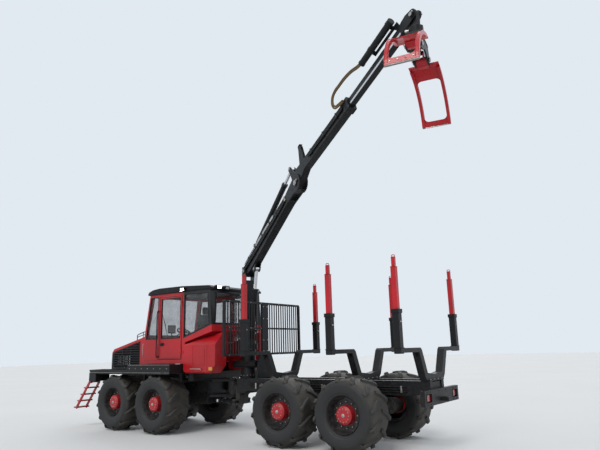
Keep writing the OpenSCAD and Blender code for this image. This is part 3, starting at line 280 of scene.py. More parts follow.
def metal(name, colour, rough, grime, scratch=0.12):
    """Bare steel: fine scratches along it and grime in patches."""
    look = Look(name)
    patches = look.noise(5, 7, 0.62)
    lines = look.noise(90, 4, 0.6, look.stretched(1, 1, 6))
    share = look.spread(patches, 0.52, 0.75, 0, grime)
    look.colour(share, colour, (0.06, 0.05, 0.042))
    look.set("Metallic", look.spread(share, 0, 1, 1, 0.2))
    gloss = look.spread(lines, 0.3, 0.7, rough * 0.7, rough * 1.4)
    look.set("Roughness", look.calc("ADD", gloss, share))
    look.relief(lines, scratch, 0.001, look.edge(0.004)[0])
    return look.material


def plastic(name, colour, rough=0.5, grain=420, strength=0.16):
    """Moulded plastic or rubber hose: fine grain and rubbed patches."""
    look = Look(name)
    patches = look.noise(4, 6, 0.6)
    light = tuple(c * 1.25 + 0.004 for c in colour)
    look.colour(look.spread(patches, 0.3, 0.7), shade(colour, 0.75), light)
    look.rough(patches, 0.3, 0.7, rough * 0.85, rough * 1.2)
    look.set("Specular IOR Level", 0.3)
    look.relief(look.noise(grain, 3), strength, 0.0015, look.edge(0.004)[0])
    return look.material


def fabric(name, colour, thread):
    """Woven seat cloth: two crossed sets of threads and a little wear."""
    look = Look(name)
    weave = [look.wave(330, axis, 0.4) for axis in ("Y", "Z")]
    crossed = look.times(*weave)
    worn = look.noise(6, 5)
    tint = look.blend(look.spread(crossed, 0.1, 0.7), colour, thread)
    look.colour(look.spread(worn, 0.45, 0.75, 0, 0.3), tint, (0.09, 0.085, 0.08))
    look.rough(worn, 0.3, 0.7, 0.8, 0.95)
    look.set("Sheen Weight", 0.25)
    look.relief(crossed, 0.3, 0.001)
    return look.material


def glazing(name, colour, alpha):
    """Tinted pane with a film of dust and a few wiped streaks."""
    look = Look(name)
    film = look.noise(3.2, 7, 0.65)
    streak = look.noise(26, 3, 0.5, look.stretched(1, 1, 0.15))
    dusty = look.times(look.spread(film, 0.45, 0.75), look.spread(streak, 0.35, 0.65, 0.4, 1.0))
    look.colour(look.times(dusty, 0.5), colour, (0.34, 0.35, 0.34))
    look.set("Alpha", look.spread(dusty, 0, 1, alpha, alpha + 0.16))
    look.rough(dusty, 0, 1, 0.03, 0.3)
    look.set("Coat Weight", 0.6)
    look.set("Coat Roughness", 0.02)
    return look.material


def glow(name, colour, strength):
    """Lamp lens that is lit: ribbed, brighter in its ribs."""
    look = Look(name)
    ribs = look.wave(60, "Y")
    look.colour(ribs, shade(colour, 0.8), colour)
    look.set("Emission Color", look.blend(ribs, shade(colour, 0.85), colour))
    look.set("Emission Strength", strength)
    look.set("Roughness", 0.15)
    look.relief(ribs, 0.4, 0.002)
    return look.material


def lens(name, colour, rough=0.08):
    """Lamp lens or reflector: pressed ribs under a clear face."""
    look = Look(name)
    ribs = look.wave(55, "Z")
    dirt = look.noise(9, 6)
    tint = look.blend(ribs, shade(colour, 0.6), colour)
    look.colour(look.spread(dirt, 0.55, 0.8, 0, 0.35), tint, ROAD_DUST)
    look.rough(dirt, 0.3, 0.7, rough, rough + 0.2)
    look.set("Coat Weight", 0.7)
    look.relief(ribs, 0.5, 0.002)
    return look.material


# Where the paint changes from red to black, in metres
DOOR_POST_X, NOSE_X, NOSE_Z, HOOD_FOOT_Z = 3.946, 6.902, 1.860, 1.492
REAR_WINDOW_X, REAR_WINDOW_Z, REAR_WINDOW_FALL = 3.055, 2.466, 0.3046


def cab_black(look, x, z):
    """The cab is black behind the door's post and above the line of the rear window."""
    line = REAR_WINDOW_Z + REAR_WINDOW_FALL * (REAR_WINDOW_X - SHIFT.x)
    above = look.step(look.calc("ADD", z, look.times(x, REAR_WINDOW_FALL)), line)
    return look.times(look.step(x, DOOR_POST_X - SHIFT.x, -0.002), above)


def hood_black(look, x, z):
    """The hood's foot and its front below the nose are black."""
    front = look.times(look.step(x, NOSE_X - SHIFT.x), look.step(z, NOSE_Z, -0.002))
    return look.calc("MAXIMUM", look.step(z, HOOD_FOOT_Z, -0.002), front)


RED, CAB_RED, HOOD_RED = (
    paint(name, (0.43, 0.007, 0.013), (0.10, 0.03, 0.03), black_where=where) for name, where in (
        ("red_paint", None), ("cab_red_paint", cab_black), ("hood_red_paint", hood_black)))
BLACK = paint("black_paint", (0.0055, 0.0062, 0.0080), (0.075, 0.075, 0.08), 0.42, 0.06, 0.2, shine=0.22)
TYRE = rubber("tyre_rubber")
WHEEL = wheel_paint("wheel_paint")
STEEL = metal("rod_steel", (0.62, 0.63, 0.65), 0.14, 0.35)
ZINC = metal("zinc_bolts", (0.42, 0.41, 0.39), 0.34, 0.8, 0.3)
CAST = paint("cast_engine", (0.030, 0.032, 0.034), (0.10, 0.09, 0.085), 0.62, 0.0, 0.7, chips=0.3)
GLASS = glazing("cab_glass", (0.05, 0.062, 0.066), 0.20)
INTERIOR = plastic("interior_plastic", (0.040, 0.041, 0.044), 0.55)
HOSE = plastic("hose_rubber", (0.014, 0.014, 0.015), 0.42, 600, 0.2)
SEAL = plastic("seal_rubber", (0.010, 0.010, 0.011), 0.6)
CLOTH = fabric("seat_cloth", (0.020, 0.021, 0.024), (0.085, 0.088, 0.095))
LAMP = lens("lamp_lens", (0.62, 0.65, 0.66))
GUARD = plastic("hose_guard", (0.13, 0.085, 0.035), rough=0.62)
LIT = glow("lamp_lit", (1.0, 0.95, 0.72), 9.0)
AMBER = lens("amber_lens", (0.75, 0.28, 0.02), 0.12)
RED_LENS = lens("red_lens", (0.42, 0.01, 0.012), 0.12)


# Mesh building

# Point from the two coordinates of an outline and the level on the third axis
PLANES = {"XZ": lambda u, v, w: (u, w, v), "YZ": lambda u, v, w: (w, u, v)}


def circle(centre, u, v, r, sides):
    return [centre + u * (r * c) + v * (r * s) for c, s in spokes(sides)]


class Kit:
    """Collects solids in one mesh, in millimetres in the given frame, until done() makes a piece of them."""

    def __init__(self, place=MACHINE):
        self.mesh = bmesh.new()
        self.place = place

    def add(self, points, faces):
        made = [self.mesh.verts.new(self.place @ Vector(p)) for p in points]
        for face in faces:
            self.mesh.faces.new([made[i] for i in face])

    def box(self, x, y, z, soft=0.0):
        """Box with its edges cut by soft."""
        if not soft:
            self.loft([[(*corner, level) for corner in oblong(*x, *y)] for level in z])
            return
        mid = [(a[0] + a[1]) / 2 for a in (x, y, z)]
        half = [abs(a[1] - a[0]) / 2 for a in (x, y, z)]
        rings = []
        for s, d in ((-1, 0), (-1, 1), (1, 1), (1, 0)):
            a, b = half[0] - soft * (1 - d), half[1] - soft * (1 - d)
            level = mid[2] + s * (half[2] - soft * d)
            rings.append([(mid[0] + u, mid[1] + v, level) for u, v in (
                (-a + soft, -b), (a - soft, -b), (a, -b + soft), (a, b - soft),
                (a - soft, b), (-a + soft, b), (-a, b - soft), (-a, -b + soft))])
        self.loft(rings)

    def loft(self, rings):
        """Skin over rings of the same number of points, with caps."""
        n = len(rings[0])
        faces = [(i * n + k, i * n + (k + 1) % n, (i + 1) * n + (k + 1) % n, (i + 1) * n + k)
                 for i in range(len(rings) - 1) for k in range(n)]
        faces += [tuple(range(n - 1, -1, -1)), tuple(range((len(rings) - 1) * n, len(rings) * n))]
        self.add([p for ring in rings for p in ring], faces)

    def lathe(self, foot, axis, profile, sides=24):
        """Turned solid: profile holds (radius, distance along the axis) pairs."""
        axis = Vector(axis).normalized()
        side = axis.orthogonal().normalized()
        other = axis.cross(side)
        self.loft([circle(Vector(foot) + axis * along, side, other, r, sides) for r, along in profile])

    def rod(self, p, q, r, sides=20, soft=2.0):
        """Round bar with cut edges between two points."""
        p, q = Vector(p), Vector(q)
        length = (q - p).length
        self.lathe(p, q - p, [(r - soft, 0), (r, soft), (r, length - soft), (r - soft, length)], sides)

    def bolt(self, at, axis, size=9):
        """Hexagon head on a washer."""
        self.lathe(at, axis, [(size * 1.25, -0.5), (size * 1.25, size * 0.22), (size * 1.1, size * 0.26)], 16)
        axis = Vector(axis).normalized()
        self.lathe(Vector(at) + axis * size * 0.2, axis, [
            (size, 0), (size, size * 0.55), (size * 0.8, size * 0.72)], 6)

    def tube(self, points, r, sides=10, steps=6):
        """Round hose or pipe along a smooth curve through the points."""
        path = smooth(points, steps)
        rings = []
        normal = None
        for i, p in enumerate(path):
            ahead = (path[min(i + 1, len(path) - 1)] - path[max(i - 1, 0)]).normalized()
            normal = ahead.orthogonal().normalized() if normal is None else (
                normal - ahead * normal.dot(ahead)).normalized()
            rings.append(circle(p, normal, ahead.cross(normal), r, sides))
        self.loft(rings)

    def boxes(self, x, y, z, soft=0.0):
        """Box on each side of the middle plane, given for the left."""
        for way in SIDES:
            self.box(x, (way * y[0], way * y[1]), z, soft)

    def tubes(self, points, r, sides=10, steps=6):
        """Tube on each side of the middle plane, given for the left."""
        for way in SIDES:
            self.tube([(x, way * y, z) for x, y, z in points], r, sides, steps)

    def sheet(self, outline, low, high, plane="XZ"):
        """Plate with an outline in a plane, between two levels of the third axis."""
        self.loft([[PLANES[plane](u, v, w) for u, v in outline] for w in (low, high)])

    def frame(self, outline, wide, low, high, plane="XZ"):
        """Strip along a closed outline, as wide inward as given, between two levels."""
        mid = [(min(q[k] for q in outline) + max(q[k] for q in outline)) / 2 for k in (0, 1)]
        inner = [[q[k] + (wide if q[k] < mid[k] else -wide) for k in (0, 1)] for q in outline]
        n = len(outline)
        points = [PLANES[plane](*q, w) for w in (low, high) for ring in (outline, inner) for q in ring]
        faces = []
        for i in range(n):
            j = (i + 1) % n
            for a, b in ((0, 1), (1, 3), (3, 2), (2, 0)):
                faces.append((a * n + i, a * n + j, b * n + j, b * n + i))
        self.add(points, faces)

    def done(self, name, body, look, angle=38):
        for vertex in self.mesh.verts:
            vertex.co = vertex.co / 1000 - SHIFT
        bmesh.ops.recalc_face_normals(self.mesh, faces=self.mesh.faces)
        data = bpy.data.meshes.new(name)
        self.mesh.to_mesh(data)
        self.mesh.clear()
        data.shade_smooth()
        data.set_sharp_from_angle(angle=math.radians(angle))
        piece = placed(name, data)
        data.materials.append(look)
        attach(piece, body)
        # Blender adds .001 to a name that one of the nodes' own materials has
        return piece


def oblong(u0, u1, v0, v1):
    return [(u0, v0), (u1, v0), (u1, v1), (u0, v1)]


def smooth(points, steps):
    """Points on a curve that runs through the given ones."""
    points = [Vector(p) for p in points]
    if len(points) < 3:
        return points
    path = []
    for i in range(len(points) - 1):
        a, b = points[max(i - 1, 0)], points[i]
        c, d = points[i + 1], points[min(i + 2, len(points) - 1)]
        for k in range(steps):
            t = k / steps
            path.append(0.5 * (2 * b + (c - a) * t + (2 * a - 5 * b + 4 * c - d) * t * t
                               + (3 * b - a - 3 * c + d) * t ** 3))
    path.append(points[-1])
    return path


# Camera

CAM_AT, CAM_YAW, CAM_PITCH, CAM_ROLL = (-6.17, 10.02, 1.90), -54.4, 12.9, -1.5
CAM_FOCAL_PX, PHOTO_W, SENSOR = 536, 600, 36
ahead, right = direction(CAM_YAW, CAM_PITCH), direction(CAM_YAW - 90, 0)
up = right.cross(ahead)
roll = math.radians(CAM_ROLL)
right, up = (right * math.cos(roll) + up * math.sin(roll), up * math.cos(roll) - right * math.sin(roll))
camera = placed("camera", bpy.data.cameras.new("camera"))
camera.data.sensor_width = SENSOR
camera.data.lens = CAM_FOCAL_PX * SENSOR / PHOTO_W
camera.data.clip_end = 400
camera.matrix_world = Matrix.Translation(Vector(CAM_AT) - SHIFT) @ Matrix(
    (right, up, -ahead)).transposed().to_4x4()
bpy.context.scene.camera = camera


# Materials of the carried-over nodes

# A key that ends with _ stands for every node that starts with it
FINISHES = {key: look for look, keys in (
    (TYRE, "tyre_"),
    (WHEEL, "wheel_"),
    (CAST, "front_axle rear_axle engine_block middle_joint"),
    (HOOD_RED, "hood"),
    (CAB_RED, "cab_frame"),
    (GLASS, "cab_glass door_glass"),
    (INTERIOR, "cab_interior"),
    (RED, "cab_door side_tanks ladder stake_extensions jaw_"),
    (STEEL, "steer_rod_ lift_rod jib_rod grapple_rod"),
    (BLACK, "hood_grille cab_roof walkways front_chassis steer_barrel_ rear_chassis rear_crossmembers"),
    (BLACK, "rear_bumper gate bunk_ crane_base crane_pillar lift_barrel main_boom jib_barrel jib extension"),
    (BLACK, "tip_link rotator grapple_frame grapple_barrel"),
) for key in keys.split()}
for name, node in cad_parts.items():
    key = name if name in FINISHES else next(k for k in FINISHES if k[-1] == "_" and name.startswith(k))
    for held in node.material_slots:
        held.material = FINISHES[key]


# Tyres

def carcass():
    """Half outline of a tyre from its bead to the middle of its tread: radius, distance outward."""
    shape = [(340, 281), (352, 302), (372, 314), (400, 330), (449, 345), (505, 350), (552, 344), (590, 327),
             (617, 300), (630, 262), (634, 200), (636, 100), (637, 0)]
    outline = [(p[0], p[1]) for p in smooth([(r, y, 0) for r, y in shape], 4)]
    # Rim protector and two thin ribs on the sidewall
    ribs = ((366, 9, 7), (408, 6, 4), (531, 7, 4))
    return [(r, y + sum(h * math.exp(-((r - at) / w) ** 2) for at, w, h in ribs)) for r, y in outline]


def tread(name, x, side):
    """Kit with a tyre's body and its lugs, a little uneven as the name's random draws say."""
    kit = Kit(move(x, side * WHEEL_Y, axle_z))
    half = carcass()
    outline = half + [(r, -y) for r, y in reversed(half[:-1])]
    around, n = 96, len(outline)
    rings = [[(r * s, y, r * c) for r, y in outline] for c, s in spokes(around)]
    kit.add([p for ring in rings for p in ring],
            [(k * n + i, k * n + (i + 1) % n, (k + 1) % around * n + (i + 1) % n, (k + 1) % around * n + i)
             for k in range(around) for i in range(n)])
    # The lugs' tops end half a millimetre over the ground
    top = axle_z - 0.5
    base = TYRE_D / 2 - LUG_H - 8
    chance = random.Random(name)
    for half_side in SIDES:
        for i in range(LUG_COUNT):
            start = (i + (half_side + 1) / 4) * 2 * math.pi / LUG_COUNT
            lug_rings = []
            path = [(88, 12, 0), (70, 60, 0), (30, 140, 0), (-18, 205, 0), (-62, 262, 0), (-86, 300, 10),
                    (-96, 322, 34), (-100, 334, 66)]
            for j, (arc, out, drop) in enumerate(path):
                before, after = path[max(j - 1, 0)], path[min(j + 1, len(path) - 1)]
                along = Vector((after[0] - before[0], after[1] - before[1])).normalized()
                across = Vector((along.y, -along.x))
                wide = LUG_W / 2 * (0.9 if j in (0, len(path) - 1) else 1) + chance.uniform(-1.5, 1.5)
                high = top - drop - chance.uniform(0, 2.5) - (6 if j == 0 else 0)
                foot = min(base, high - 20)
                ring = []
                for off, r in ((-wide - 12, foot), (-wide, high - 9), (-wide + 9, high),
                               (wide - 9, high), (wide, high - 9), (wide + 12, foot)):
                    u = arc + across.x * off
                    v = out + across.y * off
                    a = start + u / (TYRE_D / 2)
                    ring.append((r * math.sin(a), half_side * min(v, TREAD_HALF), r * math.cos(a)))
                lug_rings.append(ring)
            kit.loft(lug_rings)
    return kit


for end, x0 in (("front", BOGIE_GAP), ("rear", 0)):
    for hand, side in (("left", 1), ("right", -1)):
        for number, step in ((1, 1), (2, -1)):
            tag = f"{end}_{hand}_{number}"
            x = x0 + step * BOGIE_HALF
            tyre = tread(f"tread_{tag}", x, side).done(f"tread_{tag}", f"wheel_{tag}", TYRE)
            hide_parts(f"tyre_{tag}")
            kit = Kit(move(x, side * WHEEL_Y, axle_z) @ Matrix.Diagonal((1, side, 1, 1)))
            nut = [(17, 0), (17, 16), (11, 24), (11, 40), (8, 42)]
            for c, s in spokes(12):
                kit.bolt((118 * c, 283, 118 * s), (0.15 * c, 1, 0.15 * s), 10)
                kit.lathe((232 * c, 131, 232 * s), (0, 1, 0), nut, 6)
            kit.lathe((0, 288, 0), (0, 1, 0), [(34, 0), (34, 6), (28, 10)], 24)
            kit.lathe((0, 292, 0), (0, 1, 0), [(14, 0), (14, 12), (11, 14)], 6)
            kit.done(f"wheel_nuts_{tag}", f"wheel_{tag}", ZINC)


# Crane details

LIFT_FOOT, LIFT_EYE = (225, 2330), (500, -245)
JIB_FOOT, JIB_LUG_A, JIB_LUG_L = (760, 250), 105, 540


def pin_head(kit, x, z, y, r):
    """Head of a pin that points along Y at (x, z): a cap, its flag plate and two bolts."""
    way = 1 if y > 0 else -1
    kit.lathe((x, y, z), (0, way, 0), [(r, -6), (r, 4), (r - 4, 9), (r * 0.45, 10), (r * 0.4, 7)], 28)
    kit.box((x - r * 0.5, x + r * 1.9), (y - 1, y + way * 9), (z - r * 0.42, z + r * 0.42), 3)
    for step in (1.2, 1.65):
        kit.bolt((x + r * step, y + way * 9, z), (0, way, 0), 7)


def pins(name, body, place, heads):
    """Pin heads on both sides of a boom, each given by its X, Z, half width and radius."""
    kit = Kit(place)
    for x, z, y, r in heads:
        for way in SIDES:
            pin_head(kit, x, z, way * y, r)
    kit.done(name, body, ZINC)


def bundle(kit, route, offsets, r, steps=6, sides=10):
    """Hoses side by side along one route; each offset shifts the whole route in Y and Z."""
    for dy, dz in offsets:
        kit.tube([(x, y + dy, z + dz) for x, y, z in route], r, sides, steps)


def fitting(kit, at, axis, r):
    """Hose end: a collar, a hexagon and a short stub."""
    shape = ((1.15, -26), (1.15, -4), (1.5, -3), (1.5, 14), (1.1, 15), (1.1, 30))
    kit.lathe(at, axis, [(r * share, along) for share, along in shape], 6)


jib_eye = on_circle((0, 0), JIB_LUG_L, JIB_LUG_A - JIB_REST)
pins("pins_pillar", PILLAR, IN_CRANE, [(0, BOOM_PIVOT_Z, 145, 52), (*LIFT_FOOT, 86, 34)])
pins("pins_boom", "main_boom", IN_BOOM,
     [(*LIFT_EYE, 76, 34), (*JIB_FOOT, 75, 32), (BOOM_L, 0, 116, 56)])
pins("pins_jib", "jib", IN_JIB, [(*jib_eye, 67, 32)])
pins("pins_tip", "extension", IN_JIB, [(JIB_REACH, JIB_UP, 85, 34)])
pins("pins_grapple", "grapple", IN_GRAPPLE,
     [(end * JAW_PIN_HALF, -GRAPPLE_DROP, 123, 34) for end in SIDES])


def boom_pipes():
    """Two bright pipes clamped to the boom's right side, as the photograph shows."""
    kit = Kit(IN_BOOM)
    for z in (112, 146):
        kit.tube([(120, -112, z - 20), (330, -112, z), (1200, -112, z - 8), (2080, -112, z - 34)], 13, 12, 5)
    kit.done("boom_pipes", "main_boom", STEEL)
    for x in (420, 900, 1380, 1860):
        level = 123 - 0.015 * x
        kit.box((x - 22, x + 22), (-132, -94), (level - 38, level + 36), 6)
        kit.bolt((x, -132, level), (0, -1, 0), 8)
    kit.done("boom_clamps", "main_boom", BLACK)


def boom_hoses():
    kit = Kit(IN_BOOM)
    route = [(90, -128, 30), (600, -118, 20), (1500, -114, 15), (2400, -112, 10), (2760, -116, 30)]
    bundle(kit, route, ((0, 0), (-2, 36), (-2, -36)), 14)
    # Hose pair on the left side
    bundle(kit, [(90, 128, 30), (900, 118, 40), (1900, 112, 50), (2700, 112, 60)], ((0, 0), (2, 34)), 14)
    kit.done("boom_hoses", "main_boom", HOSE)
    for y, z in ((-116, 30), (-118, 66), (-118, -6), (112, 60), (114, 94)):
        fitting(kit, (2762 if y < 0 else 2702, y, z), (1, 0, 0), 15)
    kit.done("boom_fittings", "main_boom", ZINC)
    for x in (760, 1500, 2250):
        kit.box((x - 16, x + 16), (-138, -94), (-48, 66), 8)
        kit.box((x - 16, x + 16), (94, 136), (0, 108), 8)
    kit.done("boom_straps", "main_boom", BLACK)


def jib_dress():
    kit = Kit(IN_JIB)
    route = [(680, -96, 172), (1300, -92, 168), (1950, -92, 172), (2120, -104, 180)]
    bundle(kit, route, ((0, 0), (0, 30), (0, 60)), 13)
    kit.done("jib_hoses", "jib", HOSE)
    for x in (820, 1350, 1880):
        kit.box((x - 16, x + 16), (-112, -74), (140, 262), 6)
    # Collar bolts and wear pad screws at the tube's mouth
    for way in SIDES:
        for y in (-60, 0, 60):
            kit.bolt((JIB_L - 30, y, JIB_UP + way * 119), (0, 0, way))
        for z in (-70, 0, 70):
            kit.bolt((JIB_L - 30, way * 89, JIB_UP + z), (0, way, 0))
    kit.box((262, 352), (-36, 36), (735, 752), 5)
    kit.done("jib_fixings", "jib", BLACK)
    # Bright wear strips along the extension's sides
    kit.boxes((JIB_L + 60, JIB_REACH - 320), (52.05, 52.25), (JIB_UP - 60, JIB_UP - 22))
    kit.done("extension_wear", "extension", STEEL)


TUBE_Y, TUBE_Z = -130, JIB_UP + 230
HOSE_D, HOSE_STEP, LOOP_TURN_R = 34, 38, 145


def tube_dress():
    """Bands round the long tube that lies along the extension."""
    kit = Kit(IN_JIB)
    for x in (2960, 3844):
        kit.lathe((x, TUBE_Y, TUBE_Z), (1, 0, 0), [(56, -12), (60, -8), (60, 22), (56, 26)], 28)
    for x in (3240, 3770):
        kit.lathe((x, TUBE_Y, TUBE_Z), (1, 0, 0), [(58, 0), (62, 4), (62, 46), (58, 50)], 28)
        kit.bolt((x + 25, TUBE_Y, TUBE_Z + 62), UP)
    kit.done("tube_bands", "extension", BLACK)


def hose_loops():
    """Two hoses, one outside the other, that leave the long tube, arch free and reach the jib's collar."""
    for k, out in enumerate((0, HOSE_STEP), 1):
        turn_r = LOOP_TURN_R + out
        bend = [on_circle((2080, JIB_UP + 255), turn_r, a) for a in (90, 135, 180, 225, 270)]
        top = [(2955, 230), (2830, 262), (2640, 340), (2430, 388), (2220, 402)]
        route = [(x, TUBE_Y, JIB_UP + z + out) for x, z in top] + [(x, -134, z) for x, z in bend]
        route.append((2195, -109, JIB_UP + 108 - out))
        kit = Kit(IN_JIB)
        kit.tube(route, HOSE_D / 2, 12, 10)
        piece = kit.done(f"hose_loop_{k}", "extension", GUARD)


def grapple_dress():
    kit = Kit(IN_GRAPPLE)
    for c, s in spokes(8):
        kit.bolt((80 * c, 80 * s, -352), UP)
    for way in SIDES:
        fitting(kit, (way * 70, -118, -270), (0, -1, 0), 15)
    kit.done("rotator_bolts", "grapple", ZINC)
    # Weld beads where the grapple's cheeks meet its head
    for way in SIDES:
        kit.tube([(-232, way * 112, -428), (0, way * 113, -430), (232, way * 112, -428)], 5, 6, 8)
        kit.sheet([(-150, -432), (150, -432), (95, -500), (-95, -500)], way * 82, way * 86)
    kit.done("grapple_welds", "grapple", BLACK)


def jaw_dress(name, body, hand):
    """Beads along each rail's edges, corner fillets of the open window, and the tip's wear edge."""
    place = IN_GRAPPLE @ turn("Z", 0 if hand > 0 else 180) @ move(JAW_PIN_HALF, 0, -GRAPPLE_DROP)
    kit = Kit(place)

    def at(degrees, depth, y):
        x, z = on_circle((60, -830), 830 + depth, degrees)
        return x, y, z

    half, rail, fillet = 225, 46, 78
    for way in SIDES:
        for inward, r, sides in ((5, 6, 8), (rail, 4, 6)):
            kit.tube([at(a, 1, way * (half - inward)) for a in range(80, 8, -3)], r, sides, 2)
        for corner, toward in ((63, -1), (15, 1)):
            quarter = [math.pi / 2 * k / 7 for k in range(8)]
            outline = [(corner + toward * 5.2 * (1 - math.sin(t)), half - rail - fillet * (1 - math.cos(t)))
                       for t in quarter]
            outline.append((corner - toward * 0.4, half - rail + 2))
            kit.loft([[at(a, depth, way * y) for a, y in outline] for depth in (-17, -3)])
    kit.done(name, body, RED)
    corners = ((8.8, 0, -half), (8.8, 0, half), (8.1, -3, half), (8.1, -3, -half))
    kit.loft([[at(a, depth + d, y) for a, d, y in corners] for depth in (-31, -1)])
    for y in (-150, -50, 50, 150):
        kit.bolt(at(12, 0, y), (0.97, 0, 0.2))
    kit.done(name + "_edge", body, ZINC)


def pillar_dress():
    hoses, ends = Kit(IN_CRANE), Kit(IN_CRANE)
    for x in (-100, -66, -32, 2, 36):
        hoses.tube([(x, -128, 2200), *((x, -150, z) for z in (2260, 2700, 3300)), (x - 6, -150, 3420)], 13)
        fitting(ends, (x - 6, -150, 3440), UP, 14)
    hoses.done("pillar_hoses", PILLAR, HOSE)
    ends.done("pillar_fittings", PILLAR, ZINC)
    kit = Kit(IN_CRANE)
    for z in (2500, 2850, 3200):
        kit.box((-130, 90), (-186, -114), (z - 14, z + 14), 6)
    # Slewing ring bolts
    for c, s in spokes(18):
        kit.bolt((206 * c, 206 * s, 2020), UP, 10)
    kit.done("pillar_clamps", PILLAR, ZINC)
    # Valve block behind the pillar
    kit.box((-235, -118), (-110, 110), (3080, 3300), 10)
    for k in range(4):
        kit.lathe((-236, -78 + 52 * k, 3190), (-1, 0, 0), [(17, 0), (17, 46), (12, 52)], 14)
    kit.done("valve_block", PILLAR, CAST)


def base_dress():
    kit = Kit(move(CRANE_X, 0, 0))
    for c, s in spokes(15):
        kit.bolt((198 * c, 198 * s, 1301), UP, 11)
        kit.bolt((208 * c, 208 * s, 1900), DOWN)
    kit.done("base_bolts", REAR, ZINC)
    cap = [(86, 0), (86, 18), (78, 26), (30, 28), (26, 22)]
    for way in SIDES:
        for x, out in ((-340, -1), (310, 1)):
            kit.lathe((x, way * 125, 1560), (out, 0, 0), cap, 28)
            for c, s in spokes(6, 30):
                kit.bolt((x + out * 26, way * 125 + 60 * c, 1560 + 60 * s), (out, 0, 0), 8)
    kit.done("rack_caps", REAR, BLACK)


boom_pipes()
boom_hoses()
jib_dress()
tube_dress()
hose_loops()
grapple_dress()
jaw_dress("jaw_trim_a", "jaw_a", 1)
jaw_dress("jaw_trim_b", "jaw_b", -1)
pillar_dress()
base_dress()


# Load space details

def bunk_dress():
    kit, bolts = Kit(), Kit()
    for x in BUNK_X:
        for way in SIDES:
            # Gussets under the level arms and at the stakes' feet
            kit.sheet([(way * 640, 1768), (way * 760, 1768), (way * 668, 1640)], x - 8, x + 8, "YZ")
            y = way * STAKE_Y
            kit.box((x - 80, x + 80), (y - 74, y + 74), (1846, 1862), 6)
            for level in (2462, 2508):
                kit.box((x - 76, x + 76), (y - 74, y + 74), (level - 5, level + 5), 4)
            bolts.lathe((x - 90, y, 2300), (1, 0, 0), [(9, 0), (9, 180)], 12)
            for end in SIDES:
                bolts.bolt((x + end * 64, y, 2300), (end, 0, 0), 13)
                for dy in (90, 270):
                    bolts.bolt((x + end * 78, way * dy, 1262), UP, 12)
    kit.done("bunk_gussets", REAR, BLACK)
    bolts.done("bunk_bolts", REAR, ZINC)
    kit = Kit()
    for x in BUNK_X:
        for y in (-STAKE_Y, STAKE_Y):
            for half, z in ((52, (3255, 3276)), (36, (3426, 3446))):
                kit.box((x - half, x + half), (y - half, y + half), z, 8)
            kit.tube([(x - 30, y, 3440), (x - 26, y, 3476), (x + 26, y, 3476), (x + 30, y, 3440)], 7, 8, 5)
    kit.done("stake_caps", REAR, RED)


def gate_dress():
    kit = Kit()
    for way in SIDES:
        for z in (1784, 2370, 2956):
            for y in (160, 520, 880, 1240):
                kit.bolt((GATE_X - 30, way * y, z), (-1, 0, 0), 8)
        for z in (1850, 2100, 2600, 2880):
            kit.bolt((GATE_X - 30, way * 70, z), (-1, 0, 0), 11)
    kit.done("gate_bolts", REAR, ZINC)
    kit.tubes([(GATE_X - 34, 334, 1262), (GATE_X - 34, 182, 1768)], 6, 8)
    kit.boxes((GATE_X - 60, GATE_X + 60), (250, 326), (1240, 1258), 4)
    kit.done("gate_welds", REAR, BLACK)


def frame_dress():
    """Bright worn top edges of the frame's beams, its pipes and the bumper's lamps."""
    kit = Kit()
    for span in ((-1880, -700), (-480, 1450), (1670, 2060)):
        for y in (222, 318):
            kit.boxes(span, (y, y + 10), (1238, 1242), 1)
    kit.done("beam_wear", REAR, ZINC)
    for z in (1040, 1084, 1128):
        kit.tubes([*((x, 344, z) for x in (-1600, -300, 700)), (2300, 344, z + 20)], 11)
    kit.done("frame_pipes", REAR, BLACK)
    for x in range(-1500, 2101, 600):
        kit.boxes((x - 20, x + 20), (330, 362), (1020, 1148), 4)
        for way in SIDES:
            kit.bolt((x, way * 362, 1084), (0, way, 0))
    kit.done("pipe_clamps", REAR, ZINC)
    kit.boxes((-2150, -2110), (532, 728), (902, 1028), 10)
    kit.done("rear_lamps", REAR, RED_LENS)
    for way in SIDES:
        kit.frame(oblong(way * 514, way * 746, 884, 1046), 10, -2176, -2168, "YZ")
        for y, z in (*oblong(560, 700, 860, 1070), (160, 1065), (160, 865)):
            kit.bolt((-2170, way * y, z), (-1, 0, 0))
    kit.done("bumper_trim", REAR, BLACK)


def axle_dress(end, body, x0):
    kit = Kit(move(x0, 0, 0))
    for way in SIDES:
        for step in SIDES:
            kit.lathe((step * BOGIE_HALF, way * 655, axle_z), (0, way, 0),
                      [(140, -30), (140, -12), (150, -10), (150, 4), (120, 6)], 32)
        for c, s in spokes(10):
            kit.bolt((168 * c, way * 405, axle_z + 168 * s), (0, -way, 0), 11)
        for x in range(-600, 601, 200):
            for dz in (-140, 140):
                kit.bolt((x, way * 461, axle_z + dz), (0, -way, 0))
    for x, y in oblong(-110, 110, -150, 150):
        kit.bolt((x, y, axle_z - 172), DOWN, 12)
    kit.done(f"axle_bolts_{end}", body, ZINC)
    for way in SIDES:
        kit.lathe((0, way * 200, axle_z), (0, way, 0), [(125, 0), (146, 10), (146, 26), (125, 36)], 32)
    kit.tubes([(-60, 190, axle_z + 150), (-160, 260, axle_z + 180), (-190, 380, axle_z + 160)], 10)
    kit.done(f"axle_flanges_{end}", body, CAST)


bunk_dress()
gate_dress()
frame_dress()
axle_dress("rear", REAR, 0)
axle_dress("front", FRONT, BOGIE_GAP)


# Front body details

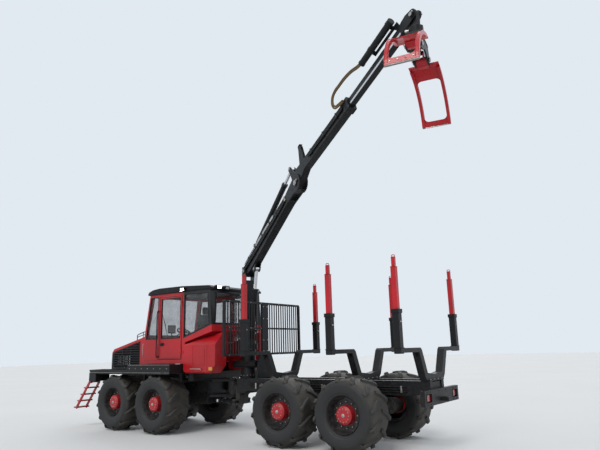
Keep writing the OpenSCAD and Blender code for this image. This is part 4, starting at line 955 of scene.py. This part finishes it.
CAB_W, DOOR_X0, DOOR_X1 = 900, 3990, 4830
HOOD_BACK_X, HOOD_BACK_Z, HOOD_NOSE_X, HOOD_NOSE_Z = 5450, 2320, 6880, 1990
SCREEN_FALL, LAMP_HALF, RIM_HALF = 0.2308, 62, 76
QUARTER = [(4880, 2200), (5350, 2200), (5190, 3260), (4880, 3260)]
REAR_WINDOW = [(3055, 2490), (3925, 2225), (3925, 3260), (3110, 3260)]
DOOR_WINDOW = oblong(DOOR_X0 + 58, DOOR_X1 - 58, 2200, 3200)


def cab_dress():
    kit = Kit()
    for way in SIDES:
        for outline in (QUARTER, REAR_WINDOW):
            kit.frame(outline, 20, way * (CAB_W - 20), way * (CAB_W + 3))
    kit.frame(DOOR_WINDOW, 20, -CAB_W + 20, -CAB_W - 3)
    kit.frame([(-760, 2520), (760, 2520), (720, 3260), (-720, 3260)], 18, 3000, 3020, "YZ")
    kit.done("cab_seals", FRONT, SEAL)
    kit.frame(DOOR_WINDOW, 20, CAB_W - 20, CAB_W + 3)
    kit.frame(oblong(DOOR_X0 + 10, DOOR_X1 - 10, 1710, 3240), 7, CAB_W - 4, CAB_W + 4)
    kit.box((DOOR_X1 - 190, DOOR_X1 - 60), (CAB_W - 1, CAB_W + 14), (2030, 2110), 8)
    handle = ((-180, 10), (-170, 46), (-84, 46), (-74, 10))
    kit.tube([(DOOR_X1 + dx, CAB_W + dy, 2070) for dx, dy in handle], 10, 10, 5)
    kit.done("door_trim", "cab_door", SEAL)
    # Pressed crease and lower panel of the door and of the cab's side
    kit.sheet([(DOOR_X0 + 26, 1740), (DOOR_X1 - 26, 1740), (DOOR_X1 - 26, 2020), (DOOR_X0 + 26, 2150)],
              CAB_W - 2, CAB_W + 7)
    kit.done("door_panel", "cab_door", RED)
    for way in SIDES:
        kit.sheet(oblong(4870, 5360, 1690, 2080), way * (CAB_W - 2), way * (CAB_W + 7))
    kit.done("cab_panels", FRONT, RED)
    bars = ((905, 1780), (962, 1800), (965, 2300), (962, 2860), (905, 2880))
    kit.tubes([(4850, y, z) for y, z in bars], 13, 12)
    kit.done("cab_rails", FRONT, BLACK)
    # Roof: gutter, hatch, lamp rims and lenses
    kit.tubes([(3010, 924, 3350), (4200, 926, 3356), (5240, 924, 3346)], 12, 10, 8)
    kit.box((3700, 4500), (-420, 420), (3462, 3486), 14)
    kit.done("roof_trim", FRONT, BLACK)
    lenses, rims, lit = Kit(), Kit(), Kit()
    for y in (-700, -420, 420, 700):
        lenses.box((5338, 5346), (y - LAMP_HALF, y + LAMP_HALF), (3344, 3418), 6)
        rims.frame(oblong(y - RIM_HALF, y + RIM_HALF, 3330, 3431), 12, 5336, 5352, "YZ")
        where = lit if y == 700 else lenses
        where.box((2930, 2941), (y - LAMP_HALF, y + LAMP_HALF), (3342, 3408), 6)
        rims.frame(oblong(y - RIM_HALF, y + RIM_HALF, 3329, 3421), 12, 2928, 2942, "YZ")
    for way in SIDES:
        where = lit if way > 0 else lenses
        where.box((3872, 3988), (way * 978, way * 985), (3342, 3406), 6)
        rims.frame(oblong(3858, 4001, 3331, 3416), 11, way * 976, way * 988)
    lenses.done("work_lamp_lenses", FRONT, LAMP)
    lit.done("work_lamps_lit", FRONT, LIT)
    rims.done("work_lamp_rims", FRONT, BLACK)
    kit.rod((5408, 120, 2240), (5330, 330, 2700), 9)
    kit.rod((5352, 250, 2560), (5284, 470, 2960), 7)
    kit.lathe((5400, 120, 2235), (1, 0, 0.15), [(26, 0), (26, 24), (18, 30)], 16)
    kit.done("wiper", FRONT, SEAL)


def seat_dress():
    kit = Kit()
    kit.box((4085, 4585), (-255, 255), (2088, 2190), 34)
    kit.box((4040, 4130), (-245, 245), (2190, 2790), 30)
    kit.box((4030, 4112), (-135, 135), (2800, 2990), 28)
    kit.boxes((4160, 4570), (215, 262), (2150, 2228), 16)
    piece = kit.done("seat_cushions", FRONT, CLOTH, 60)
    stick = [(16, 0), (14, 60), (24, 90), (28, 130), (18, 160), (4, 168)]
    for y in (-320, 320):
        kit.box((4190, 4650), (y - 48, y + 48), (2262, 2292), 12)
        kit.lathe((4610, y, 2290), (0.15, 0, 1), stick, 18)
        for k in range(3):
            kit.box((4440 + 34 * k, 4462 + 34 * k), (y - 20, y + 20), (2292, 2300), 2)
    kit.box((4890, 4916), (300, 560), (2350, 2560), 10)
    kit.rod((4905, 430, 2100), (4905, 430, 2360), 14)
    kit.box((5100, 5350), (-420, -300), (1980, 2090), 14)
    kit.done("cab_controls", FRONT, INTERIOR)
    kit.box((4884, 4891), (316, 544), (2370, 2544), 3)
    kit.done("cab_screen", FRONT, LAMP)


def hood_dress():
    # Low guard of bent bar in front of the windshield
    kit = Kit()
    top = ((5480, 2300), (5480, 2420), (5520, 2440), (5760, 2398), (5930, 2352), (5962, 2320), (5962, 2190))
    kit.tubes([(x, 690, z) for x, z in top], 11)
    kit.tubes([(5480, 690, 2370), (5760, 690, 2330), (5962, 690, 2286)], 9, 8)
    for way in SIDES:
        kit.rod((5720, way * 690, 2245), (5720, way * 690, 2402), 9)
    kit.done("hood_guard", "hood", BLACK)
    bars = ((742, 1800), (776, 1815), (778, 1960), (776, 2085), (742, 2100))
    kit.tubes([(5600, y, z) for y, z in bars], 11)
    for way in SIDES:
        for x in (5830, 6400, 6860):
            kit.bolt((x, way * 735, 1508), (0, way, 0))
    kit.done("hood_handles", "hood", ZINC)
    # Fine screens behind the slots of the sides and of the front
    for x in range(5775, 6886, 30):
        top = HOOD_BACK_Z - SCREEN_FALL * (x - HOOD_BACK_X) - 76
        kit.boxes((x, x + 8), (700, 704), (1500, min(top, 1880) if x > 6870 else top))
    for y in range(-585, 586, 30):
        kit.box((6918, 6922), (y, y + 8), (1524, 1846))
    kit.done("grille_screen", "hood", SEAL)
    kit.boxes((6955, 6972), (615, 725), (1640, 1840), 10)
    kit.done("head_lamps", "hood", LAMP)
    slope = (HOOD_NOSE_Z - HOOD_BACK_Z) / (HOOD_NOSE_X - HOOD_BACK_X)
    section = ((-26, -2), (-18, 9), (18, 9), (26, -2))
    for y in (-420, 0, 420):
        kit.loft([[(x, y + dy, HOOD_BACK_Z + slope * (x - HOOD_BACK_X) + h) for dy, h in section]
                  for x in (5520, 6840)])
    kit.done("hood_ribs", "hood", RED)


STUD_STEP, DECK_TOP = 46, 1469


def deck_dress():
    kit = Kit()
    shape = (((-13, -13), (-8, -15), (13, 13), (8, 15)), ((-11, -12), (-9, -13), (11, 12), (9, 13)))
    for way in SIDES:
        for x in range(5560, 7040, STUD_STEP):
            for y in range(930, 1330, STUD_STEP):
                turned = 1 if (x // STUD_STEP + y // STUD_STEP) % 2 else -1
                kit.loft([[(x + dx * turned, way * y + dy, z) for dx, dy in outline]
                          for z, outline in zip((DECK_TOP, DECK_TOP + 5), shape)])
    kit.done("deck_studs", FRONT, BLACK)
    for end, z in ((6990, 1404), (5455, 1586)):
        kit.boxes((3902, end), (1338, 1343), (z - 4, z + 4), 1.5)
    for way in SIDES:
        for x in range(4000, 5400, 230):
            kit.bolt((x, way * 1340, 1500), (0, way, 0))
    kit.done("deck_edges", FRONT, ZINC)
    # Mud flaps along the deck, just over the tyres
    for y in (790, 1020, 1326):
        kit.boxes((3910, 6990), (y, y + 8), (1367, 1404), 1)
    for x in range(3990, 6936, 155):
        kit.boxes((x, x + 20), (1334, 1342), (1378, 1404), 1.5)
    kit.done("deck_flaps", FRONT, SEAL)
    # Grips on the ladder's four steps
    for i in range(1, 5):
        at = Vector((7106, 0, 1150)) + Vector((136, 0, -170)) * (i - 0.15)
        for y in range(975, 1312, 42):
            kit.box((at.x - 66, at.x + 66), (y, y + 8), (at.z + 14, at.z + 20), 1)
    kit.done("ladder_grip", "ladder", ZINC)


def tank_dress():
    kit = Kit()
    kit.boxes((2870, 2990), (958, 984), (1440, 1530), 10)
    kit.done("tank_lamps", FRONT, AMBER)
    bar = ((3560, 960, 1460), (3560, 1010, 1480), (3500, 1010, 1480), (3240, 1010, 1480), (3240, 960, 1460))
    kit.tubes(bar, 11)
    cap = ((62, 0), (62, 60), (70, 62), (70, 92), (58, 100), (20, 104))
    for way in SIDES:
        kit.lathe((3500, way * 700, 2060), UP, cap, 28)
    kit.done("tank_rails", FRONT, ZINC)
    for x in (3080, 3560):
        kit.boxes((x - 24, x + 24), (957, 966), (1390, 2024), 3)
    for way in SIDES:
        kit.sheet(oblong(3140, 3500, 1560, 1940), way * 957, way * 965)
        for x, z in oblong(3160, 3480, 1580, 1920):
            kit.bolt((x, way * 965, z), (0, way, 0), 7)
    kit.done("tank_straps", FRONT, RED)


def joint_dress():
    kit = Kit(move(STEER_X, 0, 0))
    for c, s in spokes(8):
        kit.bolt((86 * c, 86 * s, 1211), UP, 11)
    kit.lathe((0, 0, 1234), UP, [(52, 0), (52, 10), (44, 16), (10, 18)], 24)
    kit.done("steer_pin_cap", FRONT, ZINC)


cab_dress()
seat_dress()
hood_dress()
deck_dress()
tank_dress()
joint_dress()


# Lights and floor

def floor():
    data = bpy.data.meshes.new("floor")
    data.from_pydata([(*corner, 0) for corner in oblong(-90, 90, -90, 90)], [], [(0, 1, 2, 3)])
    look = Look("floor_plain")
    look.colour(look.noise(0.25, 4), (0.60, 0.61, 0.62), (0.66, 0.67, 0.68))
    look.set("Roughness", 0.75)
    data.materials.append(look.material)
    placed("floor", data)


floor()
world = bpy.data.worlds.new("studio")
bpy.context.scene.world = world
world.use_nodes = True
tree = world.node_tree
tree.nodes.clear()
rays = add_node(tree, "LightPath").outputs
seen = rays["Is Camera Ray"]
for ray in ("Is Glossy Ray", "Is Transmission Ray"):
    seen = add_node(tree, "Math", {0: seen, 1: rays[ray]}, operation="MAXIMUM").outputs[0]
ambient, shown = (
    add_node(tree, "Background", {"Color": colour, "Strength": strength}).outputs[0]
    for colour, strength in (((0.93, 0.97, 1.0, 1), 0.62), ((0.76, 0.82, 0.88, 1), 1.0)))
mixed = add_node(tree, "MixShader", {0: seen, 1: ambient, 2: shown}).outputs[0]
add_node(tree, "OutputWorld", {0: mixed})


def sun(name, azimuth, height, strength, angle, colour=(1, 1, 1)):
    """Soft lamp far away, from an azimuth in the row frame and a height over the horizon."""
    lamp = bpy.data.lights.new(name, "SUN")
    lamp.energy, lamp.angle, lamp.color = strength, math.radians(angle), colour
    held = placed(name, lamp)
    held.rotation_mode = "QUATERNION"
    held.rotation_quaternion = direction(azimuth, height).to_track_quat("Z", "Y")


sun("key", 95, 48, 1.5, 28, (1.0, 0.98, 0.95))
sun("fill", 200, 30, 0.45, 50, (0.93, 0.96, 1.0))
sun("back", -60, 35, 0.5, 40)

bpy.context.scene.view_settings.view_transform = "Standard"
